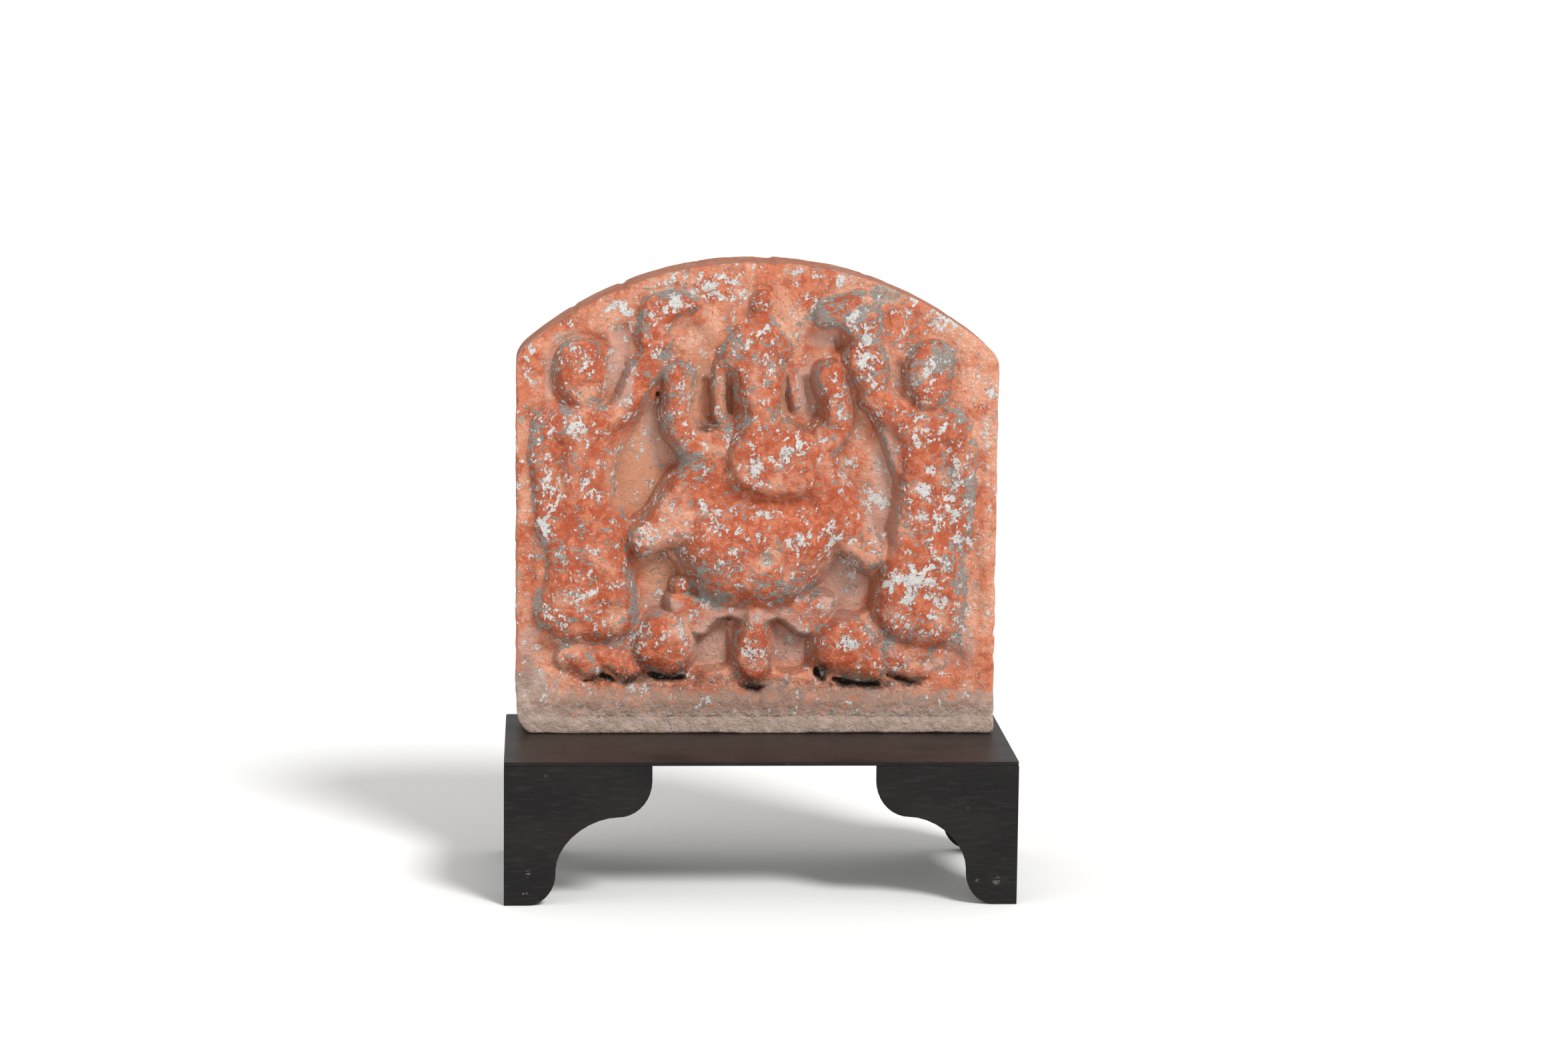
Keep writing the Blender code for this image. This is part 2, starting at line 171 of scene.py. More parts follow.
def unevenness(x: np.ndarray, z: np.ndarray, spacing: float, seed: int) -> np.ndarray:
    """Smooth random waves between -1 and 1.

    Args:
        x: Places across the face.
        z: Places up the face.
        spacing: About the length of one swell.
        seed: Seed of the waves.

    Returns:
        The waves' height at each place.
    """
    knots = np.random.default_rng(seed).uniform(-1.0, 1.0, (KNOTS, KNOTS))
    column, row = x / spacing + KNOT_SHIFT[0], z / spacing + KNOT_SHIFT[1]
    left = np.floor(column).astype(int) % (KNOTS - 1)
    low = np.floor(row).astype(int) % (KNOTS - 1)
    u, v = eased(column - np.floor(column)), eased(row - np.floor(row))
    lower = knots[low, left] * (1.0 - u) + knots[low, left + 1] * u
    upper = knots[low + 1, left] * (1.0 - u) + knots[low + 1, left + 1] * u
    return lower * (1.0 - v) + upper * v


@dataclass(frozen=True)
class Waves:
    """Waves in waves: each octave is half as long and half as high as the one before it.

    Attributes:
        spacing: About the length of the longest swell in millimetres.
        octaves: How many octaves there are.
        seed: Seed of the first one. Each further one has the next seed.
    """

    spacing: float
    octaves: int
    seed: int

    def at(self, x: np.ndarray, z: np.ndarray) -> np.ndarray:
        """Work out the waves.

        Args:
            x: Places across the face.
            z: Places up the face.

        Returns:
            Their height at each place.
        """
        total = np.zeros(x.shape)
        for octave in range(self.octaves):
            share = 0.5**octave
            total += share * unevenness(x, z, self.spacing * share, self.seed + octave)
        return total


def distance_to(x: np.ndarray, z: np.ndarray, start: Point, end: Point) -> tuple[np.ndarray, np.ndarray]:
    """Measure how far places are from a straight run.

    Args:
        x: Places across the face.
        z: Places up the face.
        start: Where the run starts.
        end: Where it ends.

    Returns:
        The distance of each place, and the share of the run where it is nearest.
    """
    run, rise = end[0] - start[0], end[1] - start[1]
    share = ((x - start[0]) * run + (z - start[1]) * rise) / max(run * run + rise * rise, 1e-9)
    share = np.clip(share, 0.0, 1.0)
    return np.hypot(x - start[0] - share * run, z - start[1] - share * rise), share


def curve_through(points: list[Point], steps: int = 5) -> list[Point]:
    """Draw a closed smooth curve.

    Args:
        points: The points that it passes through.
        steps: How many points it gets for each of them.

    Returns:
        Points along the curve.
    """
    at = np.array(points, float)
    before, after, beyond = np.roll(at, 1, 0), np.roll(at, -1, 0), np.roll(at, -2, 0)
    curve = []
    for i in range(len(at)):
        for step in range(steps):
            t = step / steps
            bend = 2.0 * before[i] - 5.0 * at[i] + 4.0 * after[i] - beyond[i]
            twist = 3.0 * at[i] - before[i] - 3.0 * after[i] + beyond[i]
            place = 0.5 * (2.0 * at[i] + (after[i] - before[i]) * t + bend * t**2 + twist * t**3)
            curve.append((float(place[0]), float(place[1])))
    return curve


@dataclass
class Relief:
    """The carved face as a height over each place of the slab's front.

    Attributes:
        hand_wander: How far a hand-cut outline strays from the drawn one.
        wander_across: How it strays sideways.
        wander_up: How it strays up and down.
        tooling: Height of the unevenness that the chisel and the thick paint leave.
        lumpiness: Height of the worn lumps on the figures.
        swell: How far thick paint swells every form over its drawn outline.
        outline_groove: Depth of the groove that is cut round the figures.
        outline_groove_start: How far outside them it starts to rise.
        outline_groove_width: Its width from there.
        reach: How far from a form its shape is worked out.
        limb_fillet: Fillet where a limb's runs meet.
        form_fillet: Fillet where forms meet.
        groove_fillet: Fillet along the groove's rim.
        hollow_fillet: Fillet where hollows meet.
        ledge_fillet: Fillet where the ledge meets the ground.
        figure_fillet: Fillet where figures meet the ground.
        wall_outside: Share of a hollow's wall that lies outside its outline.
        gap_cover: How far a figure stands over a gap to hide it.
        ledge_foot: Height where the ledge under the feet starts to fall back.
        ledge_top: Height where it ends.
        ledge_slope: How steeply it falls back.
        base_line_height: Height of the line scored along the base.
        base_line_width: Half its width.
        base_line_depth: Its depth.
    """

    hand_wander: float = 2.0
    wander_across: Waves = Waves(34.0, 3, 3)
    wander_up: Waves = Waves(34.0, 3, 13)
    tooling: float = 0.9
    lumpiness: float = 1.2
    swell: float = 2.5
    outline_groove: float = 8.0
    outline_groove_start: float = 2.0
    outline_groove_width: float = 11.0
    reach: float = 40.0
    limb_fillet: float = 3.0
    form_fillet: float = 9.0
    groove_fillet: float = 4.0
    hollow_fillet: float = 7.0
    ledge_fillet: float = 3.0
    figure_fillet: float = 6.0
    wall_outside: float = 0.35
    gap_cover: float = 8.0
    ledge_foot: float = 40.0
    ledge_top: float = 78.0
    ledge_slope: float = 0.45
    base_line_height: float = 22.0
    base_line_width: float = 3.5
    base_line_depth: float = 1.2

    def inside_limb(self, line: list[Point], x: np.ndarray, z: np.ndarray) -> np.ndarray:
        """Measure how far places lie inside a limb.

        Args:
            line: The limb's points, each with its radius.
            x: Places across the face.
            z: Places up the face.

        Returns:
            The distance from the limb's outline. Negative is outside.
        """
        best = np.full(x.shape, -1e9)
        line = line if len(line) > 1 else line * 2
        for start, end in zip(line[:-1], line[1:]):
            distance, share = distance_to(x, z, start, end)
            radius = start[2] + share * (end[2] - start[2])
            best = soft_max(best, radius - distance, self.limb_fillet)
        return best

    def inside_outline(self, points: list[Point], x: np.ndarray, z: np.ndarray) -> np.ndarray:
        """Measure how far places lie inside a smooth outline.

        Args:
            points: The outline's points.
            x: Places across the face.
            z: Places up the face.

        Returns:
            The distance from the outline. Negative is outside.
        """
        curve = curve_through(points)
        nearest = np.full(x.shape, 1e9)
        crossed = np.zeros(x.shape, bool)
        for start, end in zip(curve, curve[1:] + curve[:1]):
            nearest = np.minimum(nearest, distance_to(x, z, start, end)[0])
            if start[1] != end[1]:
                meets = start[0] + (z - start[1]) / (end[1] - start[1]) * (end[0] - start[0])
                crossed ^= ((start[1] > z) != (end[1] > z)) & (x < meets)
        return np.where(crossed, nearest, -nearest)

    def inside(self, points: list[Point], x: np.ndarray, z: np.ndarray) -> np.ndarray:
        """Measure how far places lie inside a limb or outline. Only places near it are worked out.

        Args:
            points: The limb or outline.
            x: Places across the face.
            z: Places up the face.

        Returns:
            The distance from its outline. Negative is outside.
        """
        kind = Kind.LIMB if len(points[0]) == 3 else Kind.OUTLINE
        places = np.array([point[:2] for point in points], float)
        margin = self.reach + (max(point[2] for point in points) if kind is Kind.LIMB else 0.0)
        low, high = places.min(0) - margin, places.max(0) + margin
        near = (x > low[0]) & (x < high[0]) & (z > low[1]) & (z < high[1])
        measure = self.inside_limb if kind is Kind.LIMB else self.inside_outline
        result = np.full(x.shape, -self.reach)
        result[near] = np.maximum(measure(points, x[near], z[near]), -self.reach)
        return result

    def attendants(self) -> list[Form]:
        """Draw the two standing figures with their fly-whisks, and the seated figure's feet by them.

        Returns:
            Their forms.
        """
        ground, skin = -22.0, -9.0
        left = [
            Form([(-262, 404), (-278, 388), (-282, 350), (-277, 312), (-275, 270), (-266, 242),
                  (-256, 226), (-205, 222), (-160, 228), (-156, 250), (-168, 282), (-174, 312),
                  (-170, 342), (-158, 368), (-146, 388), (-152, 404), (-180, 412),
                  (-215, 409)], -7, 18, -28),
            Form([(-262, 378, 17), (-263, 348, 17)], 3, 13, skin),
            Form([(-260, 338, 15), (-257, 300, 15), (-257, 268, 15), (-250, 243, 14)], 3, 12, skin),
            Form([(-208, 366, 28), (-208, 330, 27), (-208, 280, 29), (-206, 240, 38)], 4, 18, skin),
            Form([(-255, 384, 19), (-228, 386, 22), (-198, 388, 21), (-172, 398, 16)], 6, 15, skin),
            Form([(-256, 234), (-262, 206), (-269, 180), (-272, 155), (-267, 133), (-250, 117),
                  (-225, 110), (-195, 109), (-168, 114), (-151, 128), (-146, 150), (-149, 178),
                  (-154, 206), (-164, 232), (-206, 250)], 9, 27, ground),
            Form([(-253, 444), (-250, 462), (-242, 478), (-228, 489), (-214, 491), (-199, 486),
                  (-188, 472), (-182, 454), (-183, 434), (-189, 416), (-201, 402), (-216, 398),
                  (-233, 403), (-246, 420)], 12, 26, ground),
            Form([(-184, 394, 18), (-166, 405, 17), (-154, 424, 18), (-142, 446, 20),
                  (-131, 462, 22)], 4, 15, -20),
            Form([(-150, 484), (-150, 510), (-147, 530), (-136, 543), (-115, 549), (-92, 549), (-77, 543),
                  (-70, 533), (-77, 524), (-92, 519), (-104, 511), (-108, 497), (-106, 480), (-118, 468),
                  (-140, 468)], 6, 14, ground),
            Form([(-235, 104, 9), (-165, 102, 12)], -6, 9, ground),
            Form([(-236, 90, 12)], -2, 11, ground),
            Form([(-222, 92, 12), (-205, 81, 14)], 3, 13, ground),
            Form([(-200, 92, 12), (-160, 90, 13)], -3, 12, ground),
            Form([(-172, 84, 11), (-158, 79, 14)], 3, 13, ground),
            Form([(-150, 132), (-138, 148), (-115, 151), (-90, 144), (-76, 124), (-74, 98), (-84, 78),
                  (-105, 72), (-128, 77), (-148, 88), (-156, 110)], 8, 26, ground),
        ]
        right = [
            Form([(250, 403), (265, 388), (271, 358), (270, 309), (264, 262), (254, 234), (205, 226),
                  (163, 232), (168, 262), (176, 300), (166, 330), (153, 365), (138, 392), (124, 410),
                  (148, 428), (180, 412), (215, 406)], -8, 14, -30),
            Form([(252, 376, 16), (254, 345, 15), (253, 300, 14), (252, 262, 14),
                  (245, 246, 12)], 3, 12, skin),
            Form([(208, 368, 28), (209, 330, 27), (208, 280, 29), (204, 240, 37)], 5, 18, skin),
            Form([(244, 383, 18), (215, 385, 22), (186, 389, 20), (162, 402, 17),
                  (144, 420, 16)], 6, 15, skin),
            Form([(252, 234), (257, 205), (261, 178), (261, 150), (253, 128), (237, 110), (212, 102),
                  (188, 104), (166, 114), (152, 130), (143, 152), (146, 180), (152, 208), (162, 234),
                  (205, 250)], 9, 27, ground),
            Form([(178, 440), (178, 459), (185, 477), (198, 489), (213, 493), (230, 488), (241, 470),
                  (241, 448), (237, 427), (225, 408), (208, 398), (193, 409), (182, 425)], 5, 15, ground),
            Form([(208, 456, 16), (207, 440, 15), (207, 418, 12)], 11, 13, -3),
            Form([(105, 472), (107, 455), (118, 438), (135, 426), (152, 430), (160, 448), (156, 468),
                  (149, 486), (150, 505), (153, 522), (146, 540), (128, 550), (105, 549), (85, 545),
                  (71, 537), (67, 520), (71, 507), (83, 503), (96, 505), (108, 498),
                  (111, 486)], 2, 13, ground),
            Form([(122, 522, 26)], 12, 22, -4),
            Form([(86, 522, 14), (104, 524, 18)], 7, 13, -4),
            Form([(132, 494, 15), (133, 462, 21), (138, 446, 18)], 9, 17, -4),
            Form([(168, 102, 15), (206, 98, 13)], -2, 13, ground),
            Form([(148, 84, 18)], 3, 16, ground),
            Form([(176, 86, 15), (198, 79, 13), (210, 78, 11)], 0, 12, ground),
            Form([(226, 90, 13)], -7, 12, ground),
            Form([(68, 118), (76, 135), (98, 146), (125, 143), (145, 128), (156, 108), (158, 82),
                  (150, 66), (125, 65), (98, 70), (78, 79), (67, 96)], 8, 26, -26),
        ]
        return left + right

    def seated_figure(self) -> list[Form]:
        """Draw the elephant-headed figure: crown, head, ears, arms, bowl, trunk, belly and seat.

        Returns:
            Its forms.
        """
        head = [
            Form([(2, 549), (-9, 543), (-11, 528), (-17, 514), (-32, 501), (-44, 486), (-48, 470),
                  (-43, 455), (0, 448), (37, 455), (43, 470), (42, 486), (31, 502), (18, 514), (13, 528),
                  (12, 543)], 1, 15, -20),
            Form([(2, 534, 12)], 6, 11, -8),
            Form([(-2, 479, 36)], 10, 28, -4),
            Form([(-33, 462), (-30, 438), (-26, 415), (-15, 398), (3, 384), (19, 394), (29, 412),
                  (34, 436), (33, 460), (0, 478)], 11, 20, -26),
            Form([(-46, 458, 9), (-48, 428, 9), (-47, 395, 9), (-42, 378, 8)], -7, 8, -28),
            Form([(44, 460, 6), (44, 430, 6), (45, 405, 6)], -10, 6, -28),
        ]
        arms = [
            Form([(-96, 444, 20), (-98, 425, 18)], 4, 16, -20),
            Form([(-100, 425, 18), (-102, 400, 18), (-95, 378, 20), (-80, 363, 22),
                  (-60, 354, 26)], 4, 16, -30),
            Form([(89, 446, 20), (94, 425, 18)], 4, 16, -20),
            Form([(96, 425, 18), (99, 400, 18), (97, 378, 19), (86, 364, 21), (66, 356, 24)], 4, 16, -30),
            Form([(-64, 338), (-90, 334), (-110, 320), (-124, 300), (-138, 276), (-155, 252), (-156, 232),
                  (-142, 219), (-126, 222), (-110, 226), (-92, 230), (-66, 256)], 7, 22, -30),
            Form([(62, 338), (90, 336), (112, 320), (128, 296), (143, 266), (156, 238), (153, 216),
                  (136, 204), (120, 213), (106, 222), (90, 230), (64, 256)], 7, 22, -30),
            Form([(-138, 243, 17)], 9, 16, -4),
            Form([(140, 224, 15)], 9, 14, -4),
        ]
        body = [
            Form([(-78, 376), (-40, 386), (0, 390), (45, 386), (82, 376), (102, 346), (104, 312),
                  (100, 280), (98, 250), (60, 235), (0, 225), (-60, 235), (-98, 250), (-100, 280),
                  (-98, 312), (-92, 346)], 0, 22, -30),
            Form([(-38, 352), (-36, 330), (-26, 311), (-5, 299), (25, 295), (56, 299), (71, 315),
                  (74, 340), (72, 362), (54, 382), (25, 391), (0, 391), (-22, 383),
                  (-34, 368)], 17, 16, -12),
            Form([(4, 400, 15), (-3, 374, 18), (-13, 348, 19), (-10, 327, 18), (8, 317, 13)], 20, 16, 6),
            Form([(78, 370, 13), (78, 335, 13), (73, 308, 11)], 6, 12, -6),
            Form([(-60, 292), (-88, 284), (-100, 260), (-101, 232), (-90, 206), (-77, 181), (-56, 161),
                  (-20, 151), (25, 151), (56, 161), (75, 184), (90, 208), (101, 232), (100, 258),
                  (90, 283), (60, 292), (0, 296)], 21, 50, -26),
        ]
        seat = [
            Form([(-108, 172), (-60, 172), (0, 166), (60, 170), (92, 172), (96, 154), (84, 136),
                  (68, 122), (52, 122), (42, 133), (28, 140), (0, 130), (-30, 141), (-42, 140),
                  (-54, 132), (-60, 122), (-74, 120), (-88, 133), (-106, 150)], -4, 10, -26),
            Form([(-3, 146, 17), (-5, 118, 22), (-5, 97, 25), (-3, 84, 23)], 8, 20, -26),
            Form([(-92, 183, 13)], -6, 11, -30),
            Form([(80, 162, 15)], -2, 13, -28),
        ]
        return head + arms + body + seat

    def hollows(self) -> list[Hollow]:
        """Draw every hollow behind and under the figures.

        Returns:
            The hollows.
        """
        between = [
            Hollow([(-70, 400, 90), (70, 400, 90)], 16, 34),
            Hollow([(-60, 250, 150), (60, 250, 150)], 20, 40),
            Hollow([(-120, 426), (-108, 398), (-99, 368), (-84, 344), (-76, 330), (-88, 312), (-108, 304),
                    (-118, 286), (-132, 264), (-158, 254), (-184, 276), (-194, 312), (-188, 344),
                    (-171, 374), (-148, 402)], 31, 20, 0.12),
            Hollow([(115, 422), (138, 411), (152, 392), (168, 366), (179, 332), (185, 300), (182, 264),
                    (166, 224), (148, 230), (135, 262), (114, 296), (96, 316), (84, 334), (92, 352),
                    (104, 385)], 26, 18, 0.06),
            Hollow([(-117, 233), (-98, 216), (-86, 194), (-78, 172), (-90, 150), (-125, 146), (-154, 158),
                    (-157, 185), (-148, 208), (-134, 224)], 30, 16, 0.1),
            Hollow([(107, 236), (122, 226), (140, 208), (150, 185), (150, 163), (136, 146), (108, 140),
                    (78, 150), (66, 172), (72, 192), (90, 216)], 31, 16),
        ]
        beside_heads = [
            Hollow([(-216, 448, 50), (-210, 446, 52)], 14, 18),
            Hollow([(-72, 474, 20), (-66, 440, 20)], 19, 26),
            Hollow([(-64, 434, 12), (-64, 396, 15)], 29, 17),
            Hollow([(72, 474, 20), (68, 444, 20)], 19, 26),
            Hollow([(62, 436, 13), (66, 398, 15)], 28, 17),
            Hollow([(-34, 446, 6), (-34, 400, 7)], 27, 7),
            Hollow([(35, 454, 6), (35, 402, 7)], 27, 7),
            Hollow([(-182, 502), (-160, 512), (-150, 500), (-150, 474), (-160, 440), (-170, 414),
                    (-186, 408), (-180, 430), (-176, 455), (-182, 480)], 18, 22),
            Hollow([(-84, 496, 22), (-66, 474, 24)], 15, 24),
            Hollow([(64, 486, 24), (92, 484, 24)], 19, 30),
            Hollow([(100, 490, 9), (104, 476, 8)], 27, 10),
            Hollow([(208, 446, 42)], 11, 16),
            Hollow([(172, 456, 9), (172, 416, 10)], 17, 12),
        ]
        under_hem = [
            Hollow([(-76, 134), (-62, 128), (-50, 137), (-42, 148), (-33, 145), (-28, 110), (-29, 85),
                    (-55, 74), (-84, 80), (-84, 108)], 27, 15),
            Hollow([(22, 143), (34, 145), (46, 134), (56, 130), (68, 136), (68, 105), (66, 80), (42, 74),
                    (18, 80), (15, 110)], 27, 15),
        ]
        under_feet = [
            Hollow([(-262, 96, 22), (246, 92, 22)], 17, 26),
            Hollow([(-278, 250, 10), (-282, 150, 12), (-272, 110, 12)], 13, 14),
            Hollow([(270, 240, 10), (272, 150, 12)], 12, 14),
        ]
        return between + beside_heads + under_hem + under_feet

    def gaps(self) -> list[Hollow]:
        """Draw the narrow dark gaps under the feet, beside the seat and under the hands.

        Returns:
            The gaps.
        """
        return [
            Hollow([(-214, 64, 1), (-203, 67, 2), (-192, 71, 4), (-182, 68, 3), (-172, 64, 1)], 26, 4),
            Hollow([(-136, 75, 1), (-124, 71, 4), (-106, 68, 2), (-92, 69, 3)], 28, 4),
            Hollow([(74, 86, 2), (75, 74, 4), (84, 66, 2)], 26, 4),
            Hollow([(98, 65, 2), (112, 61, 4), (132, 60, 2), (152, 60, 3)], 28, 4),
            Hollow([(165, 72, 2), (178, 68, 3), (194, 64, 2), (206, 64, 1)], 28, 4),
            Hollow([(-10, 57, 2), (2, 54, 3), (12, 59, 1)], 20, 4),
            Hollow([(-122, 421, 4)], 38, 4),
            Hollow([(103, 226, 5), (110, 229, 5)], 38, 5),
            Hollow([(-80, 128, 6), (-70, 123, 6), (-62, 124, 4)], 36, 5),
            Hollow([(66, 126, 4), (74, 126, 6), (79, 124, 5)], 36, 5),
            Hollow([(-34, 140, 4), (-48, 146, 4)], 34, 4),
            Hollow([(28, 142, 4), (46, 140, 4)], 34, 4),
        ]

    def chips(self) -> list[Hollow]:
        """Draw where the stone is chipped or flaked: on the belly, the whisk, the rim and the base.

        Returns:
            The chips.
        """
        return [
            Hollow([(3, 226), (8, 232), (16, 230), (20, 222), (17, 213), (10, 210), (4, 216)], 4.5, 4),
            Hollow([(109, 530), (118, 538), (131, 536), (139, 528), (133, 520), (122, 516),
                    (113, 522)], 3.0, 4),
            Hollow([(138, 556), (152, 560), (170, 552), (178, 545), (172, 534), (158, 530),
                    (146, 538)], 2.5, 3),
            Hollow([(-290, 220, 6)], 3.0, 4),
            Hollow([(-293, 388, 6)], 3.0, 4),
            Hollow([(272, 184, 2), (273, 176, 2)], 4.0, 3),
            Hollow([(-222, 30, 3), (-210, 31, 5), (-200, 30, 3)], 2.0, 4),
        ]

    def height(self, x: np.ndarray, z: np.ndarray) -> tuple[np.ndarray, np.ndarray, np.ndarray]:
        """Height of the carved face over the rim.

        Args:
            x: Places across the face.
            z: Places up the face.

        Returns:
            The height at each place, how far each place lies inside the nearest figure, and how deep it
            lies in a gap, from 0 to 1.
        """
        u = x + self.hand_wander * self.wander_across.at(x, z)
        v = z + self.hand_wander * self.wander_up.at(x, z)
        figures = np.full(x.shape, -1e3)
        nearest = np.full(x.shape, -1e3)
        for form in self.attendants() + self.seated_figure():
            inside = self.inside(form.points, u, v) + self.swell
            nearest = np.maximum(nearest, inside)
            raised = form.foot + (form.crest - form.foot) * rounded(inside / form.edge)
            figures = soft_max(figures, raised, self.form_fillet)

        outside = (-nearest - self.outline_groove_start) / self.outline_groove_width
        groove = -self.outline_groove * (1.0 - eased(outside))
        ground = soft_min(np.zeros(x.shape), groove, self.groove_fillet)
        for hollow in self.hollows():
            middle = sum(point[0] for point in hollow.points) / len(hollow.points)
            floor = hollow.depth + hollow.lean * (u - middle)
            share = eased(self.inside(hollow.points, u, v) / hollow.edge + self.wall_outside)
            ground = soft_min(ground, -floor * share, self.hollow_fillet)

        ledge = np.minimum(self.ledge_slope * (self.ledge_foot - v), 0.0)
        ground = np.where(v < self.ledge_top, soft_max(ground, ledge, self.ledge_fillet), ground)
        deep = np.zeros(x.shape)
        for gap in self.gaps():
            share = eased(self.inside(gap.points, u, v) / gap.edge + self.wall_outside)
            ground = np.minimum(ground, -gap.depth * share)
            deep = np.maximum(deep, share)
        scored = np.exp(-(((v - self.base_line_height) / self.base_line_width) ** 2))
        deep *= figures < ground + self.gap_cover
        carved = soft_max(ground - self.base_line_depth * scored, figures, self.figure_fillet)
        for chip in self.chips():
            carved = carved - chip.depth * eased(self.inside(chip.points, u, v) / chip.edge)
        return carved, nearest, deep


# Where each colour lies


class Tint(Enum):
    """What lies on the vermilion paint. Each value is the name of a mesh attribute."""

    FOIL = "foil"
    TARNISH = "tarnish"
    PINK = "pink"
    OCHRE = "ochre"
    BARE = "bare"
    DARK = "dark"
    DUST = "dust"
    WEATHERED = "weathered"


FACE = ("steep", "cavity", "figure", "gap")  # what the carving itself gives at each point
Patch = tuple[float, float, float, float, float]


